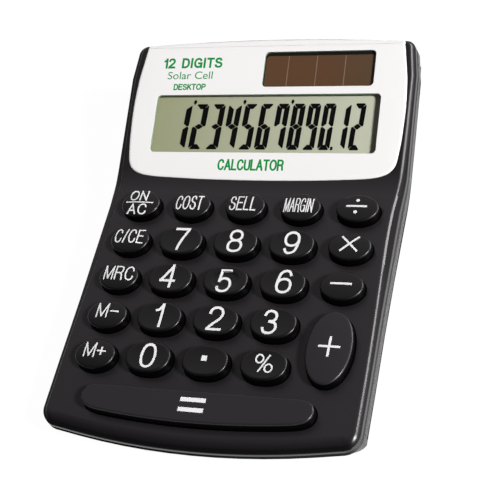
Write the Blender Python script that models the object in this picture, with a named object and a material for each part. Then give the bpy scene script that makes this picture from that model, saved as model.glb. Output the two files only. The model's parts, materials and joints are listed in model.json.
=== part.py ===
"""Semi-desktop twelve-digit solar calculator, in metres, +Z up.

The case is a thin slab with a gentle bend: the keyboard lies almost flat and the display tips up behind it.
Most parts are drawn flat, as x across, s along the deck and d above it, and then bent to the side profile.
The frame origin is the middle of the footprint on the table, with +Y towards the display.
Sizes below are in millimetres; the finished meshes are in metres.
"""

import math

import bmesh
import bpy
from mathutils import Matrix, Vector

MM = 0.001

# Side profile: the deck runs up at the keyboard slope, through one arc, then at the display slope.
KEYBOARD_SLOPE = math.radians(4)
DISPLAY_SLOPE = math.radians(21)
BEND_RADIUS = 30.0
BEND_START = 35.9
BEND_LENGTH = BEND_RADIUS * (DISPLAY_SLOPE - KEYBOARD_SLOPE)
BEND_STEPS = 5
DISPLAY_THINNING = 0.22
DECK_Y = -17.2
DECK_Z = 15.7

# Outline of the slab in the flat (x, s) plane. s is 0 at the middle of the 5 key.
FRONT_S = -56.6
FRONT_RADIUS = 240.0
FRONT_CORNER = 5.8
BACK_S = 92.0
BACK_RADIUS = 700.0
BACK_CORNER = 3.6
HALF_WIDTHS = (
    (-60.0, 51.5),
    (-40.0, 51.4),
    (0.0, 50.9),
    (30.0, 50.8),
    (42.0, 51.3),
    (78.0, 51.2),
    (95.0, 50.0),
)

# Depths below the deck of the two case halves.
EDGE_BEVEL = 1.3
UPPER_BOTTOM = -2.8
LOWER_TOP = -3.1
SHADOW_BOTTOM = -4.1
SIDE_TOP = -4.5
SLAB_BOTTOM = -10.5
CEILING = -2.0
FLOOR = -9.0
UPPER_WALL = 2.0
LOWER_WALL = 2.9
LIP_TOP = -2.3
GAP = 0.3

# The front of the deck rolls down to the edge, and the front of the underside slopes up to it.
ROLL_REACH = 4.6
ROLL_DEPTH = 1.6
UNDERCUTS = ((3.0, -8.9), (4.0, -10.0), (5.4, SLAB_BOTTOM))

# The ribbed grips along the sides.
GRIP_TOP = -4.9
GRIP_BOTTOM = -8.6
GRIP_ENDS = (-44.5, 83.5)
GRIP_STATIONS = 10

# Keys: half sizes of the three cap shapes, and the grid they sit on.
PITCH_X = 19.0
PITCH_S = 14.3
FUNCTION_KEY = (6.85, 5.3, 2.0)
NUMBER_KEY = (7.5, 5.45, 2.25)
OPERATOR_KEY = (7.0, 5.2, 2.0)
PLUS_KEY = (7.2, 12.4, 2.1)
KEY_POINTS = 20
KEY_HEIGHT = 3.7
KEY_EDGE = 0.7
FLANGE = 0.7
FLANGE_TOP = CEILING - GAP
FLANGE_BOTTOM = -3.0
PLUNGER_RADIUS = 1.6
PLUNGER_BOTTOM = -4.0
FIRST_COLUMN_SHIFT = 0.6
PLUS_S = -21.4
EQUALS_S = -44.2
EQUALS_HALF_DEPTH = 5.3
EQUALS_BOW = 260.0
EQUALS_PLUNGERS = (-16.0, 16.0)

# The white display panel and the two openings in it, as (x0, s0, x1, s1).
PANEL_DEPTH = 1.2
PANEL_THICKNESS = 0.9
LCD_OPENING = (-40.1, 50.65, 40.1, 71.5)
SOLAR_OPENING = (-2.0, 74.3, 37.0, 87.0)
OPENING_STEP = 1.1

# Internal stack, as depths below the deck.
SHEET_TOP = -5.6
SHEET_BOTTOM = -6.1
DOME_TOP = -4.3
DOME_RADII = (3.2, 1.9)
BOARD_TOP = -6.4
BOARD_BOTTOM = -7.4
BOARD_HALF = 41.4
BOARD_ENDS = (-48.8, 35.2)

RIBBON_HALF = 28.0
RIBBON_THICKNESS = 0.3
RIBBON_ROUTE = ((54.0, -4.85), (47.0, -4.85), (44.5, -5.3), (38.5, -7.5), (36.5, -7.9), (31.0, -7.9))
WIRE_RADIUS = 0.4
WIRE_ROUTE = ((79.5, -4.4), (77.5, -6.2), (74.0, -6.8), (47.0, -6.8), (38.0, -8.2), (31.5, -8.2))
LCD_GLASS = (-43.0, 48.0, 43.0, 74.0)
LCD_GLASS_BOTTOM = -4.4
SOLAR_CELL = (-4.0, 74.6, 39.0, 87.6)
SOLAR_CELL_BOTTOM = -3.5
CHIP_CENTRE = (-20.0, 8.0)
CHIP_RINGS = ((2.0, -8.7), (4.3, -8.3), (5.2, -7.7))
CAPACITOR_RADIUS = 2.0
CAPACITOR_ENDS = (-24.0, -16.5)
CAPACITOR_PLACE = (82.0, -5.4)

# Screws, and the posts and bosses they join.
POST_TOP = -8.0
POST_RADIUS = 3.4
HEAD_SEAT = -9.0
OVERLAP = 0.2
CASE_SCREWS = ((44.0, -42.5), (45.0, 7.15), (45.2, 79.0))
BOARD_SCREWS = ((9.5, 21.45), (9.5, -21.45))
BOSS_RADIUS = 2.0
SCREW_TIP = -3.0
BLIND_END = -2.4
CASE_SHANK = 0.9
BOARD_SHANK = 0.8
CASE_HEAD = 2.0
BOARD_HEAD = 1.7

# The stand under the display, in world (y, z).
STAND_BOTTOM = 1.2
STAND_FRONT = (2.0, 12.0)
STAND_BACK = (59.0, 64.0)
STAND_HALF = 33.0
STAND_WALL = 1.8
STAND_TOP_DEPTH = -9.6
STAND_ROOF_DEPTH = -7.6

# Rubber feet as (x, y): the front pair sits under the slab, the back pair under the stand.
FOOT_RADIUS = 4.5
FRONT_FOOT = (35.0, -59.5)
BACK_FOOT = (24.0, 48.0)


# ---------------------------------------------------------------- side profile

def deck_point(s):
    """World (y, z) of the deck at distance s, and the slope there."""
    keyboard = min(s, BEND_START)
    y = DECK_Y + keyboard * math.cos(KEYBOARD_SLOPE)
    z = DECK_Z + keyboard * math.sin(KEYBOARD_SLOPE)
    turned = min(max(s - BEND_START, 0.0), BEND_LENGTH) / BEND_RADIUS
    slope = KEYBOARD_SLOPE + turned
    y += BEND_RADIUS * (math.sin(slope) - math.sin(KEYBOARD_SLOPE))
    z += BEND_RADIUS * (math.cos(KEYBOARD_SLOPE) - math.cos(slope))
    beyond = max(s - BEND_START - BEND_LENGTH, 0.0)
    y += beyond * math.cos(DISPLAY_SLOPE)
    z += beyond * math.sin(DISPLAY_SLOPE)
    return y, z, slope


def thinned(s, d):
    """Depth after the lower half has grown thinner across the bend, as the slab does behind the display."""
    if d >= LOWER_TOP:
        return d
    along = min(max((s - BEND_START) / BEND_LENGTH, 0.0), 1.0)
    return LOWER_TOP + (d - LOWER_TOP) * (1 - DISPLAY_THINNING * along)


def bent(x, s, d):
    """World point of the flat point (x, s, d), in metres."""
    y, z, slope = deck_point(s)
    d = thinned(s, d)
    return Vector((x, y - d * math.sin(slope), z + d * math.cos(slope))) * MM


def bend_mesh(mesh):
    """Cuts the flat mesh across the bend, then moves every vertex onto the side profile."""
    work = bmesh.new()
    work.from_mesh(mesh)
    for step in range(BEND_STEPS + 1):
        cut = BEND_START + BEND_LENGTH * step / BEND_STEPS
        everything = work.verts[:] + work.edges[:] + work.faces[:]
        bmesh.ops.bisect_plane(work, geom=everything, plane_co=(0, cut, 0), plane_no=(0, 1, 0), dist=1e-5)
    for vertex in work.verts:
        vertex.co = bent(*vertex.co)
    bmesh.ops.triangulate(work, faces=work.faces[:])
    work.to_mesh(mesh)
    work.free()


# ---------------------------------------------------------------- outlines

def half_width(s):
    """Half the slab's width at s, eased between the listed stations."""
    for (s0, w0), (s1, w1) in zip(HALF_WIDTHS, HALF_WIDTHS[1:]):
        if s <= s1:
            t = (s - s0) / (s1 - s0)
            return w0 + (w1 - w0) * t * t * (3 - 2 * t)
    return HALF_WIDTHS[-1][1]


def arc_drop(x, radius):
    return radius - math.sqrt(radius * radius - x * x)


def corner_arc(x, s, radius, start, end, count):
    """Points of a corner arc about (x, s), from one angle to the other, in degrees."""
    angles = [math.radians(start + (end - start) * i / count) for i in range(count + 1)]
    return [(x + radius * math.cos(a), s + radius * math.sin(a)) for a in angles]


def slab_outline():
    """The slab's outer contour in the flat plane, anticlockwise from the middle of the front edge."""
    front_x = half_width(FRONT_S) - FRONT_CORNER
    front_s = FRONT_S + arc_drop(front_x, FRONT_RADIUS) + FRONT_CORNER
    back_x = half_width(BACK_S) - BACK_CORNER
    back_s = BACK_S - arc_drop(back_x, BACK_RADIUS) - BACK_CORNER
    right = [(front_x * i / 6, FRONT_S + arc_drop(front_x * i / 6, FRONT_RADIUS)) for i in range(6)]
    right += corner_arc(front_x, front_s, FRONT_CORNER, -78, 0, 6)
    right += [(half_width(s), s) for s in (-30.0, -10.0, 10.0, 35.9, 44.8, 56.0, 68.0, 78.0)]
    right += corner_arc(back_x, back_s, BACK_CORNER, 0, 86, 5)
    right += [(back_x * i / 4, BACK_S - arc_drop(back_x * i / 4, BACK_RADIUS)) for i in (3, 2, 1, 0)]
    left = [(-x, s) for x, s in reversed(right[1:-1])]
    return right + left


def inset(outline, distance):
    """The closed outline moved inwards, each point along its own normal."""
    normals = [outward(outline, i) for i in range(len(outline))]
    return [(x - n.x * distance, s - n.y * distance) for (x, s), n in zip(outline, normals)]


def outward(outline, i):
    """Unit outward normal of a closed anticlockwise outline at point i."""
    before = outline[i - 1]
    after = outline[(i + 1) % len(outline)]
    along = Vector((after[0] - before[0], after[1] - before[1])).normalized()
    return Vector((along.y, -along.x))


def front_inset(outline, side, front):
    """The outline moved inwards by one distance at the sides and another where it faces forward."""
    points = []
    for i, (x, s) in enumerate(outline):
        normal = outward(outline, i)
        distance = side + (front - side) * max(0.0, -normal.y)
        points.append((x - normal.x * distance, s - normal.y * distance))
    return points


def rolled_ring(outline, side_inset, drop, share):
    """A ring of the deck's edge. Where the outline faces forward it sits further in and lower by the roll."""
    points = []
    for i, (x, s) in enumerate(outline):
        normal = outward(outline, i)
        front = max(0.0, -normal.y) ** 2
        distance = side_inset + (ROLL_REACH - side_inset) * front * share
        depth = drop + ROLL_DEPTH * front * (1 - share) ** 2
        points.append((x - normal.x * distance, s - normal.y * distance, -depth))
    return points


def superellipse(half_x, half_s, power, count=KEY_POINTS):
    points = []
    for i in range(count):
        angle = 2 * math.pi * i / count
        c, v = math.cos(angle), math.sin(angle)
        x = math.copysign(abs(c) ** (2 / power), c) * half_x
        s = math.copysign(abs(v) ** (2 / power), v) * half_s
        points.append((x, s))
    return points


def circle(radius, count=KEY_POINTS, x=0.0, s=0.0):
    points = superellipse(radius, radius, 2, count)
    return [(x + px, s + ps) for px, ps in points]


def rounded_box(x0, s0, x1, s1, radius, count=3):
    corners = ((x1, s0, -90), (x1, s1, 0), (x0, s1, 90), (x0, s0, 180))
    points = []
    for x, s, start in corners:
        cx = x - math.copysign(radius, x - (x0 + x1) / 2)
        cs = s - math.copysign(radius, s - (s0 + s1) / 2)
        points += corner_arc(cx, cs, radius, start, start + 90, count)
    return points


def equals_outline():
    """The long bottom key about its own middle: a straight back edge and a bowed front edge."""
    half = EQUALS_HALF_DEPTH
    front = [(x, arc_drop(x, EQUALS_BOW) - half) for x in (-30.0, -20.0, -10.0, 0.0, 10.0, 20.0, 30.0)]
    right = [(34.2, -2.7), (36.7, -1.2), (37.6, 1.3), (36.6, 3.9), (33.8, half - 0.1)]
    back = [(x, half) for x in (24.0, 12.0, 0.0, -12.0, -24.0)]
    left = [(-x, s) for x, s in reversed(right)]
    return front + right + back + left


def panel_outline():
    """The white display panel: bowed sides, a rounded front and nearly square back corners."""
    right = [(0.0, 40.7), (18.0, 40.95), (33.5, 41.55), (40.0, 42.1), (43.8, 43.1), (46.1, 44.6)]
    right += [(47.4, 46.7), (48.0, 49.8), (48.6, 56.0), (48.9, 63.0), (48.9, 69.0), (48.4, 77.0)]
    right += [(47.4, 84.0), (46.4, 90.2), (30.0, 91.0), (15.0, 91.45), (0.0, 91.6)]
    left = [(-x, s) for x, s in reversed(right[1:-1])]
    return right + left


# ---------------------------------------------------------------- meshes

def level(outline, d):
    return [(x, s, d) for x, s in outline]


def stacked_mesh(name, rings):
    """A closed mesh through rings of equal point count, each (outline, d), capped at both ends."""
    return lofted_mesh(name, [level(outline, d) for outline, d in rings])


def lofted_mesh(name, rings):
    """A closed mesh through rings of equal point count, each a list of 3-D points."""
    work = bmesh.new()
    loops = [[work.verts.new(point) for point in ring] for ring in rings]
    count = len(loops[0])
    for lower, upper in zip(loops, loops[1:]):
        for i in range(count):
            j = (i + 1) % count
            work.faces.new((lower[i], lower[j], upper[j], upper[i]))
    work.faces.new(loops[0][::-1])
    work.faces.new(loops[-1])
    bmesh.ops.recalc_face_normals(work, faces=work.faces[:])
    mesh = bpy.data.meshes.new(name)
    work.to_mesh(mesh)
    work.free()
    return mesh


def joined(name, meshes):
    """One mesh that holds several, for pieces that never touch each other."""
    work = bmesh.new()
    for mesh in meshes:
        work.from_mesh(mesh)
    whole = bpy.data.meshes.new(name)
    work.to_mesh(whole)
    work.free()
    return whole


def prism(outline, low, high):
    return stacked_mesh("prism", [(outline, low), (outline, high)])


def combined(mesh, operation, other):
    """The mesh after one exact Boolean with the other mesh."""
    target = bpy.data.objects.new("target", mesh)
    tool = bpy.data.objects.new("tool", other)
    for each in (target, tool):
        bpy.context.scene.collection.objects.link(each)
    boolean = target.modifiers.new("cut", "BOOLEAN")
    boolean.operation = operation
    boolean.solver = "EXACT"
    boolean.object = tool
    graph = bpy.context.evaluated_depsgraph_get()
    result = bpy.data.meshes.new_from_object(target.evaluated_get(graph))
    bpy.data.objects.remove(target)
    bpy.data.objects.remove(tool)
    return result


def add(name, mesh, material, smooth=True):
    """Puts a finished mesh in the scene as one named node."""
    mesh.name = name
    mesh.materials.clear()
    mesh.materials.append(material)
    node = bpy.data.objects.new(name, mesh)
    bpy.context.scene.collection.objects.link(node)
    if smooth:
        mesh.shade_smooth()
        mesh.set_sharp_from_angle(angle=math.radians(32))
    return node


def add_bent(name, mesh, material):
    """Bends a flat mesh to the side profile and adds it."""
    bend_mesh(mesh)
    return add(name, mesh, material)


def make_material(name, colour, roughness, metallic=0.0, transmission=0.0):
    material = bpy.data.materials.new(name)
    material.use_nodes = True
    shader = material.node_tree.nodes["Principled BSDF"]
    shader.inputs["Base Color"].default_value = (*colour, 1.0)
    shader.inputs["Roughness"].default_value = roughness
    shader.inputs["Metallic"].default_value = metallic
    shader.inputs["Transmission Weight"].default_value = transmission
    material.diffuse_color = (*colour, 1.0)
    material.roughness = roughness
    material.metallic = metallic
    return material


# ---------------------------------------------------------------- keys

def key_places():
    """Each oval or rounded key as (name, x, s, (half x, half s, power))."""
    rows = (
        ("key_on_ac", "key_cost", "key_sell", "key_margin", "key_divide"),
        ("key_c_ce", "key_7", "key_8", "key_9", "key_multiply"),
        ("key_mrc", "key_4", "key_5", "key_6", "key_minus"),
        ("key_m_minus", "key_1", "key_2", "key_3", None),
        ("key_m_plus", "key_0", "key_point", "key_percent", None),
    )
    places = []
    for row, names in enumerate(rows):
        for column, name in enumerate(names):
            if name is None:
                continue
            x = (column - 2) * PITCH_X
            if column == 0:
                x += FIRST_COLUMN_SHIFT
            if column == 4:
                shape = OPERATOR_KEY
            elif column == 0 or row == 0:
                shape = FUNCTION_KEY
            else:
                shape = NUMBER_KEY
            places.append((name, x, (2 - row) * PITCH_S, shape))
    places.append(("key_plus", 2 * PITCH_X, PLUS_S, PLUS_KEY))
    return places


def key_rings(outline):
    """A cap with a softened top edge, and the flange below it that holds it in the case."""
    flange = inset(outline, -FLANGE)
    rings = [(flange, FLANGE_BOTTOM), (flange, FLANGE_TOP), (outline, FLANGE_TOP)]
    rings += [(outline, KEY_HEIGHT - KEY_EDGE), (inset(outline, KEY_EDGE), KEY_HEIGHT)]
    return rings


def place_key(name, mesh, x, s, material):
    """Scales a key drawn in millimetres, and sets its origin on the deck at the key's own middle."""
    mesh.transform(Matrix.Scale(MM, 4))
    key = add(name, mesh, material)
    key.location = bent(x, s, 0.0)
    key.rotation_euler = (KEYBOARD_SLOPE, 0.0, 0.0)


def make_keys(material):
    for name, x, s, shape in key_places():
        plunger = circle(PLUNGER_RADIUS)
        rings = [(plunger, PLUNGER_BOTTOM), (plunger, FLANGE_BOTTOM)]
        rings += key_rings(superellipse(*shape))
        place_key(name, stacked_mesh(name, rings), x, s, material)


def make_equals_key(material):
    """The long key presses two domes, so it has two plungers."""
    mesh = stacked_mesh("key_equals", key_rings(equals_outline()))
    top = FLANGE_BOTTOM + GAP
    plungers = [prism(circle(PLUNGER_RADIUS, 12, x), PLUNGER_BOTTOM, top) for x in EQUALS_PLUNGERS]
    mesh = combined(mesh, "UNION", joined("plungers", plungers))
    place_key("key_equals", mesh, 0.0, EQUALS_S, material)


# ---------------------------------------------------------------- upper case

def both_sides(places):
    return [(sign * x, s) for x, s in places for sign in (-1, 1)]


def upper_body():
    """The upper half: a bevelled top edge outside and a plain tray inside."""
    outer = slab_outline()
    inner = inset(outer, UPPER_WALL)
    rings = [level(inner, CEILING), level(inner, UPPER_BOTTOM), level(outer, UPPER_BOTTOM)]
    lowest = UPPER_BOTTOM + OVERLAP
    rings.append([(x, s, max(d - EDGE_BEVEL, lowest)) for x, s, d in rolled_ring(outer, 0.0, 0.0, 0.0)])
    rings.append(rolled_ring(outer, 0.4, 0.4, 0.0))
    rings.append(rolled_ring(outer, EDGE_BEVEL, 0.0, 0.12))
    rings.append(rolled_ring(outer, EDGE_BEVEL + 0.5, 0.0, 0.5))
    rings.append(rolled_ring(outer, EDGE_BEVEL + 1.0, 0.0, 1.0))
    return lofted_mesh("upper", rings)


def upper_bosses():
    bosses = []
    for places, bottom in ((CASE_SCREWS, POST_TOP + GAP), (BOARD_SCREWS, BOARD_TOP + GAP)):
        for x, s in both_sides(places):
            bosses.append(prism(circle(BOSS_RADIUS, 12, x, s), bottom, CEILING + OVERLAP))
    return joined("bosses", bosses)


def upper_openings():
    """Key holes, the two display openings and the blind screw holes."""
    tools = []
    for _, x, s, shape in key_places():
        hole = [(x + px, s + ps) for px, ps in inset(superellipse(*shape), -GAP)]
        tools.append(prism(hole, CEILING - 1, 1.0))
    hole = [(px, EQUALS_S + ps) for px, ps in inset(equals_outline(), -GAP)]
    tools.append(prism(hole, CEILING - 1, 1.0))
    for x0, s0, x1, s1 in (LCD_OPENING, SOLAR_OPENING):
        grown = (x0 - OPENING_STEP, s0 - OPENING_STEP, x1 + OPENING_STEP, s1 + OPENING_STEP)
        tools.append(prism(rounded_box(*grown, 1.5), CEILING - 1, 1.0))
    for x, s in both_sides(CASE_SCREWS):
        tools.append(prism(circle(CASE_SHANK + GAP, 10, x, s), POST_TOP - 1, BLIND_END))
    for x, s in both_sides(BOARD_SCREWS):
        tools.append(prism(circle(BOARD_SHANK + GAP, 10, x, s), BOARD_TOP - 1, BLIND_END))
    return joined("openings", tools)


def panel_seat():
    """The shallow seat for the white panel, open at the back edge."""
    seat = inset(panel_outline(), -GAP)
    seat = [(x, s + 3.0 if s > 89.0 else s) for x, s in seat]
    return prism(seat, -PANEL_DEPTH, 2.0)


def make_upper_case(material):
    mesh = combined(upper_body(), "UNION", upper_bosses())
    mesh = combined(mesh, "DIFFERENCE", panel_seat())
    mesh = combined(mesh, "DIFFERENCE", upper_openings())
    add_bent("upper_case", mesh, material)


# ---------------------------------------------------------------- display

def make_panel(material):
    mesh = prism(panel_outline(), -PANEL_THICKNESS, 0.0)
    tools = [prism(rounded_box(*box, 0.9), -2.0, 1.0) for box in (LCD_OPENING, SOLAR_OPENING)]
    mesh = combined(mesh, "DIFFERENCE", joined("windows", tools))
    add_bent("display_panel", mesh, material)


def make_pane(name, opening, material):
    """A clear pane in the upper case's opening, under the panel."""
    grow = OPENING_STEP - GAP
    x0, s0, x1, s1 = opening
    outline = rounded_box(x0 - grow, s0 - grow, x1 + grow, s1 + grow, 1.2)
    add_bent(name, prism(outline, CEILING, -PANEL_DEPTH), material)


def make_plate(name, box, bottom, material):
    """A flat glass plate held just under the upper case."""
    add_bent(name, prism(rounded_box(*box, 0.5, 1), bottom, CEILING - GAP), material)


def swept(name, path, section, material):
    """A solid that carries a section along a path of (origin, right, up) frames, in flat coordinates."""
    work = bmesh.new()
    loops = []
    for origin, right, up in path:
        loops.append([work.verts.new(origin + right * a + up * b) for a, b in section])
    count = len(section)
    for first, second in zip(loops, loops[1:]):
        for i in range(count):
            j = (i + 1) % count
            work.faces.new((first[i], first[j], second[j], second[i]))
    work.faces.new(loops[0][::-1])
    work.faces.new(loops[-1])
    bmesh.ops.recalc_face_normals(work, faces=work.faces[:])
    mesh = bpy.data.meshes.new(name)
    work.to_mesh(mesh)
    work.free()
    add_bent(name, mesh, material)


def make_ribbon(material):
    """The flat flex that joins the display glass to the underside of the board."""
    upper = [(s, d + RIBBON_THICKNESS / 2) for s, d in RIBBON_ROUTE]
    lower = [(s, d - RIBBON_THICKNESS / 2) for s, d in reversed(RIBBON_ROUTE)]
    path = [(Vector((x, 0, 0)), Vector((0, 1, 0)), Vector((0, 0, 1))) for x in (-RIBBON_HALF, RIBBON_HALF)]
    swept("lcd_ribbon", path, upper + lower, material)


def make_wire(name, x, material):
    """A lead from the back of the solar cell to the underside of the board."""
    points = [Vector((x, s, d)) for s, d in WIRE_ROUTE]
    last = len(points) - 1
    across = Vector((1, 0, 0))
    path = []
    for i, point in enumerate(points):
        along = (points[min(i + 1, last)] - points[max(i - 1, 0)]).normalized()
        path.append((point, across, along.cross(across)))
    swept(name, path, circle(WIRE_RADIUS, 6), material)


# ---------------------------------------------------------------- board and key sheet

def dome_places():
    places = [(x, s) for _, x, s, _ in key_places()]
    return places + [(x, EQUALS_S) for x in EQUALS_PLUNGERS]


def make_key_sheet(material):
    """One rubber sheet with a dome under every plunger."""
    box = (-BOARD_HALF, BOARD_ENDS[0], BOARD_HALF, BOARD_ENDS[1])
    sheet = prism(rounded_box(*box, 1.0, 1), SHEET_BOTTOM, SHEET_TOP)
    low, high = DOME_RADII
    domes = []
    for x, s in dome_places():
        foot = circle(low, 10, x, s)
        rings = [(foot, SHEET_TOP - OVERLAP), (circle(high, 10, x, s), DOME_TOP)]
        domes.append(stacked_mesh("dome", rings))
    sheet = combined(sheet, "UNION", joined("domes", domes))
    holes = board_holes(BOSS_RADIUS + GAP, SHEET_BOTTOM - 1, SHEET_TOP + 1)
    add_bent("key_sheet", combined(sheet, "DIFFERENCE", holes), material)


def board_holes(radius, low, high):
    """The cutters that clear the board's screws."""
    return joined("holes", [prism(circle(radius, 12, x, s), low, high) for x, s in both_sides(BOARD_SCREWS)])


def make_board(material):
    box = (-BOARD_HALF, BOARD_ENDS[0], BOARD_HALF, BOARD_ENDS[1])
    board = prism(rounded_box(*box, 1.0, 1), BOARD_BOTTOM, BOARD_TOP)
    holes = board_holes(BOARD_SHANK + GAP, BOARD_BOTTOM - 1, BOARD_TOP + 1)
    add_bent("circuit_board", combined(board, "DIFFERENCE", holes), material)


def make_chip(material):
    """The resin drop over the bare chip, under the board."""
    rings = [(circle(radius, 16, *CHIP_CENTRE), depth) for radius, depth in CHIP_RINGS]
    add_bent("chip_resin", stacked_mesh("chip", rings), material)


def make_capacitor(material):
    """A small can lying across the case behind the display glass."""
    path = [(Vector((x, *CAPACITOR_PLACE)), Vector((0, 1, 0)), Vector((0, 0, 1))) for x in CAPACITOR_ENDS]
    swept("capacitor", path, circle(CAPACITOR_RADIUS, 16), material)


# ---------------------------------------------------------------- screws

def screw_mesh(name, shank, head, rings):
    """A headed screw from (radius, depth) rings, drawn about its own axis. The head end comes first."""
    return stacked_mesh(name, [(circle(radius, 12), depth) for radius, depth in rings(shank, head)])


def case_rings(shank, head):
    seat = HEAD_SEAT - GAP
    return ((head - 0.3, seat - 0.9), (head, seat - 0.6), (head, seat), (shank, seat), (shank, SCREW_TIP))


def board_rings(shank, head):
    seat = BOARD_BOTTOM - GAP
    return ((head - 0.3, seat - 0.9), (head, seat - 0.7), (head, seat), (shank, seat), (shank, SCREW_TIP))


def make_screws(prefix, places, sizes, rings, material):
    for number, (x, s) in enumerate(both_sides(places), 1):
        name = f"{prefix}_{number}"
        mesh = screw_mesh(name, *sizes, rings)
        mesh.transform(Matrix.Translation((x, s, 0.0)))
        add_bent(name, mesh, material)


# ---------------------------------------------------------------- lower case

def lower_body():
    """The lower half: a locating lip, a set-back shadow line, a full-width side and a rounded bottom edge."""
    outer = slab_outline()
    shadow = inset(outer, 0.9)
    inner = inset(outer, LOWER_WALL)
    lip = inset(outer, UPPER_WALL + GAP)
    rings = [(inner, FLOOR), (inner, LIP_TOP), (lip, LIP_TOP), (lip, LOWER_TOP), (shadow, LOWER_TOP)]
    rings += [(shadow, SHADOW_BOTTOM), (outer, SIDE_TOP)]
    for side, (front, depth) in zip((0.0, 0.6, 1.8), UNDERCUTS):
        rings.append((front_inset(outer, side, front), depth))
    return stacked_mesh("lower", rings)


def side_curve(count):
    """Points and outward normals along the right side, where the grip runs."""
    first, last = GRIP_ENDS
    found = []
    for i in range(count + 1):
        s = first + (last - first) * i / count
        slope = half_width(s + 0.5) - half_width(s - 0.5)
        normal = Vector((1.0, -slope, 0.0)).normalized()
        found.append((Vector((half_width(s), s, 0.0)), normal))
    return found


def grip_path(side):
    return mirrored(side_curve(GRIP_STATIONS), side)


def grip_section():
    """Section of the grip as (outward, d), with three ribs along it."""
    section = [(-0.9, GRIP_BOTTOM), (-0.9, GRIP_TOP), (-0.3, GRIP_TOP)]
    pitch = (GRIP_TOP - GRIP_BOTTOM) / 3
    for rib in range(3):
        start = GRIP_TOP - pitch * rib
        section += [(0.0, start - pitch * 0.25), (0.0, start - pitch * 0.7), (-0.4, start - pitch)]
    return section[:-1] + [(-0.3, GRIP_BOTTOM)]


def mirrored(points, side):
    return [(Vector((side * p.x, p.y, p.z)), Vector((side * n.x, n.y, n.z))) for p, n in points]


def grip_slot(side):
    """The channel in the case wall that holds the grip."""
    curve = grip_path(side)
    stretch = [(curve[0][0] - Vector((0, GAP, 0)), curve[0][1])]
    stretch += curve[1:-1]
    stretch += [(curve[-1][0] + Vector((0, GAP, 0)), curve[-1][1])]
    outside = [(p + n * 2.0)[:2] for p, n in stretch]
    inside = [(p - n * 1.2)[:2] for p, n in reversed(stretch)]
    return prism(outside + inside, GRIP_BOTTOM - GAP, GRIP_TOP + GAP)


def make_grip(name, side, material):
    path = [(point, normal, Vector((0, 0, 1))) for point, normal in grip_path(side)]
    swept(name, path, grip_section(), material)


def lower_screw_posts():
    low = FLOOR - 3 * OVERLAP
    places = both_sides(CASE_SCREWS)
    return joined("posts", [prism(circle(POST_RADIUS, 12, x, s), low, POST_TOP) for x, s in places])


def lower_screw_holes():
    tools = []
    for x, s in both_sides(CASE_SCREWS):
        head = circle(CASE_HEAD + GAP, 12, x, s)
        hole = circle(CASE_SHANK + GAP, 12, x, s)
        rings = [(head, SLAB_BOTTOM - 1), (head, HEAD_SEAT), (hole, HEAD_SEAT), (hole, POST_TOP + 1)]
        tools.append(stacked_mesh("hole", rings))
    return joined("holes", tools)


def stand_profile(shrink, top):
    """The stand's side shape in world (y, z). Its upper edge follows the slab at depth top."""
    front_top, front_bottom = STAND_FRONT
    back_bottom, back_top = STAND_BACK
    low = STAND_BOTTOM + shrink
    points = [(front_bottom + shrink, low), (back_bottom - shrink, low)]
    for s in (80.0, 62.0, BEND_START + BEND_LENGTH, BEND_START + BEND_LENGTH / 2, BEND_START, 19.0):
        point = bent(0.0, s, top) / MM
        y = min(max(point.y, front_top + shrink), back_top - shrink)
        points.append((y, point.z))
    return points


def soften(mesh, width):
    """Rounds every sharp edge of a flat-faced solid."""
    work = bmesh.new()
    work.from_mesh(mesh)
    sharp = [edge for edge in work.edges if edge.calc_face_angle() > math.radians(30)]
    bmesh.ops.bevel(work, geom=sharp, offset=width, segments=2, profile=0.5, affect="EDGES")
    work.to_mesh(mesh)
    work.free()


def stand_mesh(half, shrink, top, rounding):
    profile = stand_profile(shrink, top)
    mesh = prism(profile, -half, half)
    soften(mesh, rounding)
    turn = Matrix(((0, 0, 1, 0), (1, 0, 0, 0), (0, 1, 0, 0), (0, 0, 0, 1)))
    mesh.transform(turn)
    mesh.transform(Matrix.Scale(MM, 4))
    return mesh


def foot_mesh(radius, x, y, low, high):
    mesh = prism(circle(radius, 16, x, y), low, high)
    mesh.transform(Matrix.Scale(MM, 4))
    return mesh


def make_lower_case(material):
    mesh = combined(lower_body(), "UNION", lower_screw_posts())
    slots = joined("slots", [grip_slot(1), grip_slot(-1)])
    mesh = combined(mesh, "DIFFERENCE", slots)
    mesh = combined(mesh, "DIFFERENCE", lower_screw_holes())
    bend_mesh(mesh)
    mesh = combined(mesh, "UNION", stand_mesh(STAND_HALF, 0.0, STAND_TOP_DEPTH, 1.6))
    hollow = stand_mesh(STAND_HALF - STAND_WALL, STAND_WALL, STAND_ROOF_DEPTH, 0.8)
    mesh = combined(mesh, "DIFFERENCE", hollow)
    pockets = [foot_mesh(FOOT_RADIUS + GAP, x, y, -1.0, high) for x, y, high in foot_places()]
    mesh = combined(mesh, "DIFFERENCE", joined("pockets", pockets))
    add("lower_case", mesh, material)


def foot_places():
    """Each foot as (x, y, z of its pocket's roof)."""
    front = [(x, FRONT_FOOT[1], 2.9) for x in (-FRONT_FOOT[0], FRONT_FOOT[0])]
    back = [(x, BACK_FOOT[1], STAND_BOTTOM + 0.9) for x in (-BACK_FOOT[0], BACK_FOOT[0])]
    return front + back


def make_feet(material):
    for number, (x, y, roof) in enumerate(foot_places(), 1):
        add(f"foot_{number}", foot_mesh(FOOT_RADIUS, x, y, 0.0, roof - GAP), material)


# ---------------------------------------------------------------- assembly

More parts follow.
